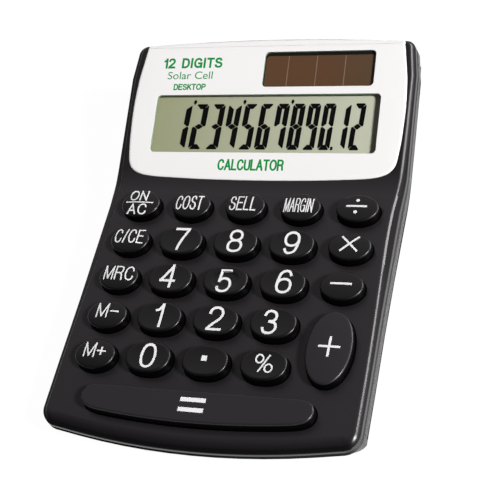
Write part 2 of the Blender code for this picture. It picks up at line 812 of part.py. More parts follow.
def main():
    for old in list(bpy.data.objects):
        bpy.data.objects.remove(old)
    black = make_material("case_black", (0.012, 0.011, 0.012), 0.42)
    lower_black = make_material("lower_case_black", (0.012, 0.012, 0.013), 0.5)
    make_keys(make_material("key_black", (0.010, 0.010, 0.011), 0.38))
    make_equals_key(bpy.data.materials["key_black"])
    make_upper_case(black)
    make_panel(make_material("panel_white", (0.80, 0.78, 0.76), 0.35))
    clear = make_material("clear_pane", (0.95, 0.97, 0.96), 0.05, transmission=1.0)
    make_pane("lcd_window", LCD_OPENING, clear)
    make_pane("solar_window", SOLAR_OPENING, clear)
    make_plate("lcd_glass", LCD_GLASS, LCD_GLASS_BOTTOM, make_material("lcd_grey", (0.42, 0.46, 0.38), 0.4))
    brown = make_material("solar_brown", (0.08, 0.03, 0.02), 0.3)
    make_plate("solar_cell", SOLAR_CELL, SOLAR_CELL_BOTTOM, brown)
    make_ribbon(make_material("ribbon_amber", (0.45, 0.25, 0.06), 0.45))
    make_wire("solar_wire_red", 33.0, make_material("wire_red", (0.5, 0.02, 0.02), 0.5))
    make_wire("solar_wire_black", 36.0, make_material("wire_black", (0.02, 0.02, 0.02), 0.5))
    make_key_sheet(make_material("sheet_rubber", (0.35, 0.36, 0.38), 0.7))
    make_board(make_material("board_green", (0.03, 0.16, 0.06), 0.5))
    make_chip(make_material("chip_resin", (0.01, 0.01, 0.01), 0.35))
    make_capacitor(make_material("capacitor_sleeve", (0.02, 0.03, 0.10), 0.4))
    steel = make_material("screw_steel", (0.45, 0.45, 0.46), 0.35, metallic=1.0)
    make_screws("case_screw", CASE_SCREWS, (CASE_SHANK, CASE_HEAD), case_rings, steel)
    make_screws("board_screw", BOARD_SCREWS, (BOARD_SHANK, BOARD_HEAD), board_rings, steel)
    make_lower_case(lower_black)
    grip = make_material("grip_black", (0.015, 0.015, 0.016), 0.6)
    make_grip("side_grip_right", 1, grip)
    make_grip("side_grip_left", -1, grip)
    make_feet(make_material("foot_rubber", (0.02, 0.02, 0.02), 0.85))


main()
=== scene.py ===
"""Looks of the semi-desktop solar calculator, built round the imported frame.

Lengths are in millimetres until a mesh is finished, and in metres after that. Most pieces are drawn flat, as
x across, s along the deck and d above it, and then bent to the side profile that the frame has.
"""

import json
import math

import bmesh
import bpy
from mathutils import Matrix, Vector

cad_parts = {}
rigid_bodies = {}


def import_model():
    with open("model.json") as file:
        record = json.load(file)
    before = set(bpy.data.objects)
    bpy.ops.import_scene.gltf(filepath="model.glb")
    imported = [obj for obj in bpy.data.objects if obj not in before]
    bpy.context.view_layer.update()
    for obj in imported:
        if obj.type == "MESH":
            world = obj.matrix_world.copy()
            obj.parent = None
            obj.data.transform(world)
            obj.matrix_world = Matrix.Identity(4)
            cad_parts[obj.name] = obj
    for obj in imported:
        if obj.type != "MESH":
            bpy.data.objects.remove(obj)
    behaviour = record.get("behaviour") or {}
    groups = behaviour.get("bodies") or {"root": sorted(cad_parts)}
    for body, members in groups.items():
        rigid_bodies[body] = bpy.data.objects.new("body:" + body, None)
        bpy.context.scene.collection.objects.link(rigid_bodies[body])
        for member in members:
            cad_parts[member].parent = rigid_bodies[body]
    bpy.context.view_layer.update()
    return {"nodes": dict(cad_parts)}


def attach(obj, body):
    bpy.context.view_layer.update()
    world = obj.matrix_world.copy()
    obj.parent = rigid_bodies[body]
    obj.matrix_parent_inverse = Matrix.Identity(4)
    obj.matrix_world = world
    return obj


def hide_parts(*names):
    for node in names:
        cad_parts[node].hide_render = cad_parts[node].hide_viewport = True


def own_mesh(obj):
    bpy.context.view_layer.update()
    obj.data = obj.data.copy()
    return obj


MM = 0.001
BUMP_DEPTH = 0.0001
SHARP_ANGLE = math.radians(40)
NODE_SHARP_ANGLE = math.radians(34)
NODE_WELD = 1e-6
MERGE = 1e-5

# Side profile: the deck runs up at the keyboard slope, through one arc, then at the display slope.
KEYBOARD_SLOPE = math.radians(4)
DISPLAY_SLOPE = math.radians(21)
BEND_RADIUS = 30.0
BEND_START = 35.9
BEND_LENGTH = BEND_RADIUS * (DISPLAY_SLOPE - KEYBOARD_SLOPE)
BEND_STEPS = 14
DISPLAY_THINNING = 0.22
DECK_Y = -17.2
DECK_Z = 15.7

# Outline of the slab in the flat plane.
FRONT_S = -56.6
FRONT_RADIUS = 240.0
FRONT_CORNER = 5.8
BACK_S = 92.0
BACK_RADIUS = 700.0
BACK_CORNER = 3.6
HALF_WIDTHS = (
    (-60.0, 51.5),
    (-40.0, 51.4),
    (0.0, 50.9),
    (30.0, 50.8),
    (42.0, 51.3),
    (78.0, 51.2),
    (95.0, 50.0),
)

# Depths of the upper case.
UPPER_BOTTOM = -2.8
LOWER_TOP = -3.1
CEILING = -2.0
UPPER_WALL = 2.0
LOWEST_ROLL = 1.75
ROLL_REACH = 4.6
ROLL_DEPTH = 1.15
ROLL_POWER = 2.6

# The deck's edge as (side inset, drop, share of the front roll), from the outside in.
DECK_EDGE = (
    (0.0, 1.35, 0.014),
    (0.02, 1.0, 0.014),
    (0.1, 0.82, 0.014),
    (0.22, 0.68, 0.02),
    (0.62, 0.28, 0.06),
    (0.78, 0.15, 0.1),
    (1.0, 0.05, 0.15),
    (1.3, 0.0, 0.25),
    (1.55, 0.0, 0.38),
    (1.8, 0.0, 0.5),
    (2.0, 0.0, 0.7),
    (2.2, 0.0, 0.85),
    (2.4, 0.0, 1.0),
)

# A ledge outside the deck's bevel, as its width along the sides and how much wider it grows round one place.
LEDGE_EDGE = 0.22
LEDGE_WIDTH = 0.7
LEDGE_WAIST = (1.1, 22.0, 24.0)

# Keys.
PITCH_X = 19.0
PITCH_S = 14.3
FUNCTION_KEY = (6.85, 5.3, 2.0)
NUMBER_KEY = (7.5, 5.45, 2.25)
OPERATOR_KEY = (7.0, 5.2, 2.0)
PLUS_KEY = (7.2, 12.4, 2.1)
KEY_POINTS = 72
KEY_HEIGHT = 3.7
FLANGE = 0.7
FLANGE_TOP = -2.3
FLANGE_BOTTOM = -3.0
PLUNGER_RADIUS = 1.6
PLUNGER_BOTTOM = -4.0
FIRST_COLUMN_SHIFT = 0.6
PLUS_S = -21.4
EQUALS_S = -44.2
EQUALS_HALF_DEPTH = 5.3
EQUALS_BOW = 260.0
EQUALS_PLUNGERS = (-16.0, 16.0)
HOLE_GAP = 0.25

# A cap's edge as (inset, drop below the cap's height), from the wall up to the top.
CAP_EDGE = (
    (0.0, 0.95),
    (0.04, 0.6),
    (0.13, 0.35),
    (0.28, 0.17),
    (0.48, 0.06),
    (0.75, 0.0),
)
DISH = {"number": -0.22, "home": -0.22, "function": 0.42, "operator": 0.3}
HOME_DISH = (0.6, 0.67, 0.22)

# Display panel and its openings, as (x0, s0, x1, s1).
PANEL_DEPTH = 1.2
PANEL_THICKNESS = 0.9
PANEL_GAP = 0.12
PANEL_EDGE = ((0.0, 0.5), (0.08, 0.3), (0.25, 0.15), (0.55, 0.05), (1.0, 0.0))
LCD_OPENING = (-40.1, 50.65, 40.1, 71.5)
SOLAR_OPENING = (-2.0, 74.3, 37.0, 87.0)
OPENING_STEP = 1.1
CELL_GAPS_X = (6.3, 16.4, 26.4)
GLASS_TOP = -2.3
PANE_TOP = -1.2

# Liquid crystal digits. The pitch narrows evenly towards the right.
DIGIT_X = -26.95
DIGIT_PITCH = 6.25
DIGIT_NARROWING = 0.0554
DIGIT_S = 52.45
DIGIT_WIDTH = 4.95
DIGIT_HEIGHT = 16.5
DIGIT_LEAN = 0.06
STEM = 2.05
ARM = 1.85
SEGMENT_GAP = 0.1
SEGMENTS = {
    "0": "abcdef",
    "1": "bc",
    "2": "abged",
    "3": "abgcd",
    "4": "fgbc",
    "5": "afgcd",
    "6": "afgedc",
    "7": "fabc",
    "8": "abcdefg",
    "9": "abcdfg",
}

# Rubber sheet.
SHEET_TOP = -5.6
SHEET_BOTTOM = -6.1
DOME_TOP = -4.3
DOME_RADII = (3.2, 1.9)
BOARD_HALF = 41.4
BOARD_ENDS = (-48.8, 35.2)
BOARD_SCREWS = ((9.5, 21.45), (9.5, -21.45), (-9.5, 21.45), (-9.5, -21.45))
SCREW_CLEARANCE = 2.3

# Studio, in metres and watts. A lamp is (direction, distance, width, power), and a strip also has a height.
CAMERA_PLACE = (0.1457, -0.2299, 0.3312)
CAMERA_TURN = (0.6614, 0.2601, 0.2395)
CAMERA_LENS = 92.29
KEY_LIGHT = ((0.756, -0.233, 0.61), 3.3, 0.5, 163.0)
EDGE_STRIP = ((0.74, 0.56, 0.38), 1.1, 0.7, 8.0, 0.36)

# Glyphs of the lettering, as (width, strokes) in a box one unit high and wide. Lines have sharp corners,
# curves are smooth and loops close on themselves.
LETTER_GAP = 0.24
INK_FOOT = 0.1
INK_TOP = 0.03
PRINT_TOP = 0.02
GLYPHS = {
    "0": (0.5, [
        ("loop", [(0.5, 0), (0.86, 0.12), (1, 0.5), (0.86, 0.88), (0.5, 1), (0.14, 0.88), (0, 0.5),
            (0.14, 0.12)])
    ]),
    "1": (0.28, [("line", [(1, 0), (1, 1)]), ("curve", [(0, 0.72), (0.55, 0.79), (1, 1)])]),
    "2": (0.5, [
        ("curve", [(0.02, 0.7), (0.14, 0.92), (0.5, 1), (0.86, 0.92), (0.97, 0.72), (0.8, 0.5),
            (0.35, 0.24), (0, 0)]), ("line", [(0.04, 0), (1, 0)])
    ]),
    "3": (0.5, [
        ("curve", [(0.04, 0.77), (0.2, 0.95), (0.5, 1), (0.82, 0.93), (0.92, 0.76), (0.78, 0.58),
            (0.38, 0.54)]),
        ("curve", [(0.38, 0.54), (0.84, 0.48), (1, 0.28), (0.86, 0.08), (0.5, 0), (0.15, 0.06), (0, 0.26)])
    ]),
    "4": (0.5, [
        ("line", [(0.76, 0), (0.76, 1)]), ("line", [(0.74, 0.96), (0.02, 0.3)]),
        ("line", [(0, 0.29), (1, 0.29)])
    ]),
    "5": (0.5, [
        ("line", [(0.9, 1), (0.2, 1), (0.1, 0.52)]),
        ("curve", [(0.08, 0.5), (0.26, 0.61), (0.55, 0.65), (0.88, 0.56), (1, 0.32), (0.86, 0.08), (0.5, 0),
            (0.15, 0.06), (0, 0.25)])
    ]),
    "6": (0.5, [
        ("curve", [(0.95, 0.77), (0.8, 0.95), (0.54, 1), (0.17, 0.88), (0.01, 0.5), (0, 0.34)]),
        ("loop", [(0.5, 0), (0.87, 0.09), (1, 0.32), (0.86, 0.55), (0.5, 0.63), (0.14, 0.55), (0, 0.32),
            (0.13, 0.09)])
    ]),
    "7": (0.5, [
        ("line", [(0, 1), (0.97, 1)]), ("curve", [(1, 1), (0.68, 0.66), (0.44, 0.3), (0.34, -0.05)])
    ]),
    "8": (0.5, [
        ("loop", [(0.5, 0.54), (0.82, 0.61), (0.93, 0.77), (0.8, 0.94), (0.5, 1), (0.2, 0.94), (0.07, 0.77),
            (0.18, 0.61)]),
        ("loop", [(0.5, 0), (0.87, 0.07), (1, 0.27), (0.87, 0.47), (0.5, 0.54), (0.13, 0.47), (0, 0.27),
            (0.13, 0.07)])
    ]),
    "9": (0.5, [
        ("curve", [(0.05, 0.23), (0.2, 0.05), (0.46, 0), (0.83, 0.12), (0.99, 0.5), (1, 0.66)]),
        ("loop", [(0.5, 1), (0.13, 0.91), (0, 0.68), (0.14, 0.45), (0.5, 0.37), (0.86, 0.45), (1, 0.68),
            (0.87, 0.91)])
    ]),
    "A": (0.6, [("line", [(0, 0), (0.5, 1), (1, 0)]), ("line", [(0.24, 0.33), (0.76, 0.33)])]),
    "C": (0.6, [
        ("curve", [(0.97, 0.69), (0.83, 0.92), (0.5, 1), (0.14, 0.86), (0, 0.5), (0.14, 0.14), (0.5, 0),
            (0.85, 0.09), (1, 0.34)])
    ]),
    "D": (0.55, [
        ("line", [(0, 1), (0, 0), (0.4, 0)]), ("line", [(0, 1), (0.4, 1)]),
        ("curve", [(0.36, 1), (0.82, 0.9), (1, 0.5), (0.82, 0.1), (0.36, 0)])
    ]),
    "E": (0.5, [("line", [(1, 0), (0, 0), (0, 1), (0.97, 1)]), ("line", [(0, 0.53), (0.9, 0.53)])]),
    "G": (0.62, [
        ("curve", [(0.95, 0.71), (0.8, 0.93), (0.5, 1), (0.14, 0.86), (0, 0.5), (0.14, 0.14), (0.5, 0),
            (0.82, 0.08), (0.99, 0.28)]), ("line", [(1, 0.02), (1, 0.46), (0.6, 0.46)])
    ]),
    "I": (0.12, [("line", [(0.5, 0), (0.5, 1)])]),
    "K": (0.52, [
        ("line", [(0, 0), (0, 1)]), ("line", [(0.04, 0.36), (0.92, 1)]), ("line", [(0.36, 0.6), (1, 0)])
    ]),
    "L": (0.45, [("line", [(0, 1), (0, 0), (1, 0)])]),
    "M": (0.66, [
        ("line", [(0, 0), (0, 1)]), ("line", [(0.02, 0.97), (0.5, 0.06)]),
        ("line", [(0.98, 0.97), (0.5, 0.06)]), ("line", [(1, 0), (1, 1)])
    ]),
    "N": (0.55, [
        ("line", [(0, 0), (0, 1)]), ("line", [(0.03, 0.96), (0.97, 0.04)]), ("line", [(1, 0), (1, 1)])
    ]),
    "O": (0.66, [
        ("loop", [(0.5, 0), (0.86, 0.14), (1, 0.5), (0.86, 0.86), (0.5, 1), (0.14, 0.86), (0, 0.5),
            (0.14, 0.14)])
    ]),
    "P": (0.52, [
        ("line", [(0, 0), (0, 1), (0.5, 1)]), ("line", [(0, 0.46), (0.5, 0.46)]),
        ("curve", [(0.48, 1), (0.9, 0.92), (1, 0.73), (0.9, 0.54), (0.48, 0.46)])
    ]),
    "R": (0.56, [
        ("line", [(0, 0), (0, 1), (0.55, 1)]), ("line", [(0, 0.5), (0.55, 0.5)]),
        ("curve", [(0.52, 1), (0.88, 0.93), (0.97, 0.75), (0.88, 0.57), (0.52, 0.5)]),
        ("curve", [(0.55, 0.5), (0.84, 0.42), (0.92, 0.2), (0.98, -0.06)])
    ]),
    "S": (0.55, [
        ("curve", [(0.93, 0.74), (0.8, 0.94), (0.5, 1), (0.16, 0.93), (0.06, 0.75), (0.2, 0.59),
            (0.5, 0.52), (0.86, 0.43), (1, 0.25), (0.86, 0.06), (0.5, 0), (0.14, 0.07), (0, 0.29)])
    ]),
    "T": (0.52, [("line", [(0, 1), (1, 1)]), ("line", [(0.5, 0), (0.5, 1)])]),
    "U": (0.55, [
        ("curve", [(0, 1.05), (0, 0.7), (0, 0.34), (0.14, 0.07), (0.5, 0), (0.86, 0.07), (1, 0.34),
            (1, 0.7), (1, 1.05)])
    ]),
    "/": (0.28, [("line", [(0, 0), (1, 1)])]),
    "%": (0.8, [
        ("loop", [(0.2, 0.52), (0.36, 0.6), (0.42, 0.75), (0.36, 0.92), (0.2, 1), (0.06, 0.92), (0, 0.75),
            (0.06, 0.6)]),
        ("loop", [(0.8, 0), (0.94, 0.08), (1, 0.25), (0.94, 0.4), (0.8, 0.48), (0.64, 0.4), (0.58, 0.25),
            (0.64, 0.08)]), ("line", [(0.26, 0.02), (0.74, 0.98)])
    ]),
    " ": (0.35, []),
}


# ---------------------------------------------------------------- side profile

def deck_point(s):
    """World (y, z) of the deck at distance s, and the slope there."""
    keyboard = min(s, BEND_START)
    y = DECK_Y + keyboard * math.cos(KEYBOARD_SLOPE)
    z = DECK_Z + keyboard * math.sin(KEYBOARD_SLOPE)
    turned = min(max(s - BEND_START, 0.0), BEND_LENGTH) / BEND_RADIUS
    slope = KEYBOARD_SLOPE + turned
    y += BEND_RADIUS * (math.sin(slope) - math.sin(KEYBOARD_SLOPE))
    z += BEND_RADIUS * (math.cos(KEYBOARD_SLOPE) - math.cos(slope))
    beyond = max(s - BEND_START - BEND_LENGTH, 0.0)
    y += beyond * math.cos(DISPLAY_SLOPE)
    z += beyond * math.sin(DISPLAY_SLOPE)
    return y, z, slope


def thinned(s, d):
    """Depth after the lower half has grown thinner across the bend."""
    if d >= LOWER_TOP:
        return d
    along = min(max((s - BEND_START) / BEND_LENGTH, 0.0), 1.0)
    return LOWER_TOP + (d - LOWER_TOP) * (1 - DISPLAY_THINNING * along)


def bent(x, s, d):
    """World point of the flat point (x, s, d), in metres."""
    y, z, slope = deck_point(s)
    d = thinned(s, d)
    return Vector((x, y - d * math.sin(slope), z + d * math.cos(slope))) * MM


def cut_across(work, axis, places):
    """Cuts the mesh by planes square to one axis."""
    normal = [0.0, 0.0, 0.0]
    normal[axis] = 1.0
    for place in places:
        point = [n * place for n in normal]
        everything = work.verts[:] + work.edges[:] + work.faces[:]
        bmesh.ops.bisect_plane(work, geom=everything, plane_co=point, plane_no=normal, dist=MERGE)


def bend_mesh(mesh):
    """Cuts the flat mesh across the bend, then moves every vertex onto the side profile."""
    work = bmesh.new()
    work.from_mesh(mesh)
    cut_across(work, 1, [BEND_START + BEND_LENGTH * step / BEND_STEPS for step in range(BEND_STEPS + 1)])
    for vertex in work.verts:
        vertex.co = bent(*vertex.co)
    bmesh.ops.triangulate(work, faces=[face for face in work.faces if len(face.verts) > 4])
    work.to_mesh(mesh)
    work.free()


# ---------------------------------------------------------------- outlines

def half_width(s):
    """Half the slab's width at s, eased between the listed stations."""
    for (s0, w0), (s1, w1) in zip(HALF_WIDTHS, HALF_WIDTHS[1:]):
        if s <= s1:
            t = (s - s0) / (s1 - s0)
            return w0 + (w1 - w0) * t * t * (3 - 2 * t)
    return HALF_WIDTHS[-1][1]


def arc_drop(x, radius):
    return radius - math.sqrt(radius * radius - x * x)


def corner_arc(x, s, radius, start, end, count):
    angles = [math.radians(start + (end - start) * i / count) for i in range(count + 1)]
    return [(x + radius * math.cos(a), s + radius * math.sin(a)) for a in angles]


def slab_outline():
    """The slab's outer contour in the flat plane, anticlockwise from the middle of the front edge."""
    front_x = half_width(FRONT_S) - FRONT_CORNER
    front_s = FRONT_S + arc_drop(front_x, FRONT_RADIUS) + FRONT_CORNER
    back_x = half_width(BACK_S) - BACK_CORNER
    back_s = BACK_S - arc_drop(back_x, BACK_RADIUS) - BACK_CORNER
    right = [(front_x * i / 16, FRONT_S + arc_drop(front_x * i / 16, FRONT_RADIUS)) for i in range(16)]
    right += corner_arc(front_x, front_s, FRONT_CORNER, -78, 0, 16)
    right += [(half_width(s), s) for s in range(-36, 84, 6)]
    right += corner_arc(back_x, back_s, BACK_CORNER, 0, 86, 12)
    right += [(back_x * i / 8, BACK_S - arc_drop(back_x * i / 8, BACK_RADIUS)) for i in range(7, -1, -1)]
    left = [(-x, s) for x, s in reversed(right[1:-1])]
    return right + left


def outward(outline, i):
    """Unit outward normal of a closed anticlockwise outline at point i."""
    before = outline[i - 1]
    after = outline[(i + 1) % len(outline)]
    along = Vector((after[0] - before[0], after[1] - before[1])).normalized()
    return Vector((along.y, -along.x))


def inset(outline, distance):
    """The closed outline moved inwards, each point along its own normal."""
    normals = [outward(outline, i) for i in range(len(outline))]
    return [(x - n.x * distance, s - n.y * distance) for (x, s), n in zip(outline, normals)]


def ledge(s):
    """Width of the ledge between the side wall and the bevel at s."""
    growth, middle, reach = LEDGE_WAIST
    return LEDGE_WIDTH + growth * math.exp(-((s - middle) / reach) ** 2)


def rolled_ring(outline, side_inset, drop, share):
    """A ring of the deck's edge. Where the outline faces forward it sits further in and lower by the roll."""
    points = []
    for i, (x, s) in enumerate(outline):
        normal = outward(outline, i)
        front = max(0.0, -normal.y) ** 2
        distance = side_inset + (ROLL_REACH - side_inset) * front * share
        if side_inset >= LEDGE_EDGE:
            distance += ledge(s) * normal.x ** 2
        depth = min(drop + ROLL_DEPTH * front * (1 - share) ** ROLL_POWER, LOWEST_ROLL)
        points.append((x - normal.x * distance, s - normal.y * distance, -depth))
    return points


def superellipse(half_x, half_s, power, count=KEY_POINTS):
    points = []
    for i in range(count):
        angle = 2 * math.pi * i / count
        c, v = math.cos(angle), math.sin(angle)
        x = math.copysign(abs(c) ** (2 / power), c) * half_x
        s = math.copysign(abs(v) ** (2 / power), v) * half_s
        points.append((x, s))
    return points


def circle(radius, count=32, x=0.0, s=0.0):
    points = superellipse(radius, radius, 2, count)
    return [(x + px, s + ps) for px, ps in points]


def rounded_box(x0, s0, x1, s1, radius, count=8):
    corners = ((x1, s0, -90), (x1, s1, 0), (x0, s1, 90), (x0, s0, 180))
    points = []
    for x, s, start in corners:
        cx = x - math.copysign(radius, x - (x0 + x1) / 2)
        cs = s - math.copysign(radius, s - (s0 + s1) / 2)
        points += corner_arc(cx, cs, radius, start, start + 90, count)
    return points


def through(points, steps, closed=False):
    """A smooth curve through the points, with this many steps between each two."""
    count = len(points)
    spans = range(count if closed else count - 1)
    curve = []
    for i in spans:
        four = []
        for j in (i - 1, i, i + 1, i + 2):
            four.append(Vector(points[j % count] if closed else points[min(max(j, 0), count - 1)]))
        a, b, c, d = four
        for step in range(steps):
            t = step / steps
            point = b + (c - a) * (t / 2) + (a - b * 2.5 + c * 2 - d / 2) * t ** 2
            point += (b * 1.5 - a / 2 - c * 1.5 + d / 2) * t ** 3
            curve.append(tuple(point))
    if not closed:
        curve.append(tuple(points[-1]))
    return curve


def equals_outline():
    """The long bottom key about its own middle: a straight back edge and a bowed front edge."""
    half = EQUALS_HALF_DEPTH
    front = [(x, arc_drop(x, EQUALS_BOW) - half) for x in (-30.0, -20.0, -10.0, 0.0, 10.0, 20.0, 30.0)]
    right = [(34.2, -2.7), (36.7, -1.2), (37.6, 1.3), (36.6, 3.9), (33.8, half - 0.1)]
    back = [(x, half) for x in (24.0, 12.0, 0.0, -12.0, -24.0)]
    left = [(-x, s) for x, s in reversed(right)]
    return through(front + right + back + left, 4, closed=True)


def panel_outline():
    """The white display panel: bowed sides, a rounded front and nearly square back corners."""
    right = [(0.0, 40.7), (18.0, 40.95), (33.5, 41.55), (40.0, 42.1), (43.8, 43.1), (46.1, 44.6)]
    right += [(47.4, 46.7), (48.0, 49.8), (48.6, 56.0), (48.9, 63.0), (48.9, 69.0), (48.4, 77.0)]
    right += [(47.4, 84.0), (46.55, 89.6)]
    side = through([(-18.0, 40.95)] + right, 4)[4:]
    back = [(46.3, 90.0), (45.9, 90.2), (38.0, 90.65), (30.0, 91.0), (15.0, 91.45), (0.0, 91.6)]
    half = side + back
    return half + [(-x, s) for x, s in reversed(half[1:-1])]


# ---------------------------------------------------------------- meshes

def level(outline, d):
    return [(x, s, d) for x, s in outline]


def lofted(rings, centre=None):
    """A closed mesh through rings of equal point count, ending on a centre point if one is given."""
    work = bmesh.new()
    loops = [[work.verts.new(point) for point in ring] for ring in rings]
    count = len(loops[0])
    for lower, upper in zip(loops, loops[1:]):
        for i in range(count):
            j = (i + 1) % count
            work.faces.new((lower[i], lower[j], upper[j], upper[i]))
    work.faces.new(loops[0][::-1])
    if centre is None:
        work.faces.new(loops[-1])
    else:
        tip = work.verts.new(centre)
        for i in range(count):
            work.faces.new((loops[-1][i], loops[-1][(i + 1) % count], tip))
    return finished(work)


def new_object(name, data):
    made = bpy.data.objects.new(name, data)
    bpy.context.scene.collection.objects.link(made)
    return made


def finished(work):
    bmesh.ops.recalc_face_normals(work, faces=work.faces[:])
    mesh = bpy.data.meshes.new("piece")
    work.to_mesh(mesh)
    work.free()
    return mesh


def stacked(rings):
    return lofted([level(outline, d) for outline, d in rings])


def prism(outline, low, high):
    return stacked([(outline, low), (outline, high)])


def joined(meshes):
    work = bmesh.new()
    for mesh in meshes:
        work.from_mesh(mesh)
    whole = bpy.data.meshes.new("whole")
    work.to_mesh(whole)
    work.free()
    return whole


def combined(mesh, operation, other):
    """The mesh after one exact Boolean with the other mesh."""
    target = new_object("target", mesh)
    tool = new_object("tool", other)
    boolean = target.modifiers.new("cut", "BOOLEAN")
    boolean.operation = operation
    boolean.solver = "EXACT"
    boolean.object = tool
    graph = bpy.context.evaluated_depsgraph_get()
    result = bpy.data.meshes.new_from_object(target.evaluated_get(graph))
    bpy.data.objects.remove(target)
    bpy.data.objects.remove(tool)
    return result


def piece(name, mesh, material, body, slot, nodes=()):
    """A finished mesh as one visible piece that rides on a body and stands for the given nodes."""
    mesh.name = name
    mesh.materials.clear()
    mesh.materials.append(material)
    mesh.shade_smooth()
    mesh.set_sharp_from_angle(angle=SHARP_ANGLE)
    made = new_object(name, mesh)
    weighted = made.modifiers.new("normals", "WEIGHTED_NORMAL")
    weighted.keep_sharp = True
    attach(made, body)
    if nodes:
        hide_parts(*nodes)
    return made


def bent_piece(name, mesh, *rest):
    bend_mesh(mesh)
    return piece(name, mesh, *rest)


# ---------------------------------------------------------------- materials

class Nodes:
    """A small helper that builds one node material."""

    def __init__(self, name):
        self.material = bpy.data.materials.new(name)
        self.material.use_nodes = True
        self.tree = self.material.node_tree
        self.shader = self.tree.nodes["Principled BSDF"]
        self.output = self.tree.nodes["Material Output"]
        self.place = self.add("ShaderNodeTexCoord").outputs["Object"]

    def add(self, kind, **values):
        node = self.tree.nodes.new(kind)
        for key, value in values.items():
            setattr(node, key, value)
        return node

    def link(self, source, target):
        self.tree.links.new(source, target)

    def put(self, name, value):
        """Gives one input of the shader a socket, a number or a colour."""
        self.feed(value, self.shader.inputs[name])

    def feed(self, value, target):
        if isinstance(value, bpy.types.NodeSocket):
            self.link(value, target)
        else:
            target.default_value = value

    def noise(self, scale):
        """Noise with features of 1/scale metres."""
        node = self.add("ShaderNodeTexNoise")
        self.link(self.place, node.inputs["Vector"])
        node.inputs["Scale"].default_value = scale
        node.inputs["Detail"].default_value = 3.0
        node.inputs["Roughness"].default_value = 0.6
        return node.outputs["Fac"]

    def between(self, fac, low, high, start=0.3, end=0.7):
        """A value that runs from low to high as fac runs from start to end."""
        node = self.add("ShaderNodeMapRange")
        self.link(fac, node.inputs["Value"])
        for key, value in (("From Min", start), ("From Max", end), ("To Min", low), ("To Max", high)):
            node.inputs[key].default_value = value
        return node.outputs["Result"]

    def toward(self, value, fac, goal):
        """The value, a number or a socket, moved to goal as fac runs from 0 to 1."""
        node = self.add("ShaderNodeMix")
        self.link(fac, node.inputs["Factor"])
        self.feed(value, node.inputs["A"])
        node.inputs["B"].default_value = goal
        return node.outputs["Result"]

    def blend(self, fac, first, second):
        """A colour that runs from the first to the second."""
        node = self.add("ShaderNodeMix", data_type="RGBA")
        self.link(fac, node.inputs["Factor"])
        node.inputs["A"].default_value = (*first, 1.0)
        node.inputs["B"].default_value = (*second, 1.0)
        return node.outputs["Result"]

    def facing(self):
        """The surface normal as three outputs."""
        split = self.add("ShaderNodeSeparateXYZ")
        self.link(self.add("ShaderNodeNewGeometry").outputs["Normal"], split.inputs["Vector"])
        return split.outputs

    def bump(self, height, strength):
        node = self.add("ShaderNodeBump")
        self.link(height, node.inputs["Height"])
        node.inputs["Strength"].default_value = strength
        node.inputs["Distance"].default_value = BUMP_DEPTH
        self.link(node.outputs["Normal"], self.shader.inputs["Normal"])


def shades(colour, spread):
    return tuple(c * (1 - spread) for c in colour), tuple(c * (1 + spread) for c in colour)


def plastic(name, colour, roughness, spread=0.12, grain=3000.0, bump=0.08, specular=0.5):
    """Moulded plastic: a fine spark texture, with a slow drift in colour and roughness."""
    nodes = Nodes(name)
    fine = nodes.noise(grain)
    slow = nodes.noise(60.0)
    nodes.put("Base Color", nodes.blend(nodes.between(slow, 0, 1), *shades(colour, spread)))
    nodes.put("Roughness", nodes.between(fine, roughness - 0.04, roughness + 0.04))
    nodes.put("Specular IOR Level", specular)
    nodes.bump(fine, bump)
    return nodes.material


def key_material(name, colour):
    """Key plastic: satin on top, and matt down the wall, whose colour is darkened there as painted shade."""
    nodes = Nodes(name)
    clear_of_painted_shade = nodes.between(nodes.facing()["Z"], 0.0, 1.0, 0.1, 0.55)
    fine = nodes.noise(3500.0)
    # Painted shade: the base colour runs to near black on the walls.
    nodes.put("Base Color", nodes.blend(clear_of_painted_shade, (0.0012, 0.0011, 0.0012), colour))
    nodes.put("Specular IOR Level", nodes.between(clear_of_painted_shade, 0.08, 0.4, 0.0, 1.0))
    nodes.put("Roughness", nodes.between(fine, 0.33, 0.37))
    nodes.bump(fine, 0.04)
    return nodes.material


def deck_material(colour):
    """Case plastic: shiny on the right bevel and at the foot of the front edge, and dull above that foot. The
    front roll is darkened as painted shade.
    """
    nodes = Nodes("deck_plastic")
    normal = nodes.facing()
    front_roll = nodes.between(normal["Y"], 0.0, 1.0, -0.3, -0.6)
    front_foot = nodes.between(normal["Y"], 0.0, 1.0, -0.85, -0.97)
    right_bevel = nodes.between(normal["X"], 0.0, 1.0, 0.4, 0.6)
    right_wall = nodes.between(normal["X"], 0.0, 1.0, 0.86, 0.97)
    specular = nodes.toward(nodes.toward(0.5, front_roll, 0.15), front_foot, 1.0)
    specular = nodes.toward(nodes.toward(specular, right_bevel, 1.0), right_wall, 0.6)
    nodes.put("Specular IOR Level", specular)
    # Painted shade: the front roll's base colour is darker than the rest of the deck.
    nodes.put("Base Color", nodes.blend(front_roll, colour, (0.004, 0.0035, 0.004)))
    fine = nodes.noise(2600.0)
    nodes.put("Roughness", nodes.between(fine, 0.34, 0.42))
    nodes.bump(fine, 0.08)
    return nodes.material


def panel_material():
    """White satin plastic, with painted shade in green-grey on the walls of its openings."""
    nodes = Nodes("panel_plastic")
    clear_of_painted_shade = nodes.between(nodes.facing()["Z"], 0.0, 1.0, 0.35, 0.6)
    fine = nodes.noise(2200.0)
    # Painted shade: the walls of the openings take a dark green-grey colour in place of white.
    nodes.put("Base Color", nodes.blend(clear_of_painted_shade, (0.22, 0.31, 0.235), (0.88, 0.862, 0.857)))
    nodes.put("Roughness", nodes.between(fine, 0.35, 0.41))
    nodes.bump(fine, 0.03)
    return nodes.material


def plated_steel():
    nodes = Nodes("plated_steel")
    fine = nodes.noise(5000.0)
    nodes.put("Base Color", nodes.blend(fine, *shades((0.5, 0.5, 0.51), 0.15)))
    nodes.put("Roughness", nodes.between(fine, 0.24, 0.4))
    nodes.put("Metallic", 1.0)
    nodes.bump(fine, 0.1)
    return nodes.material


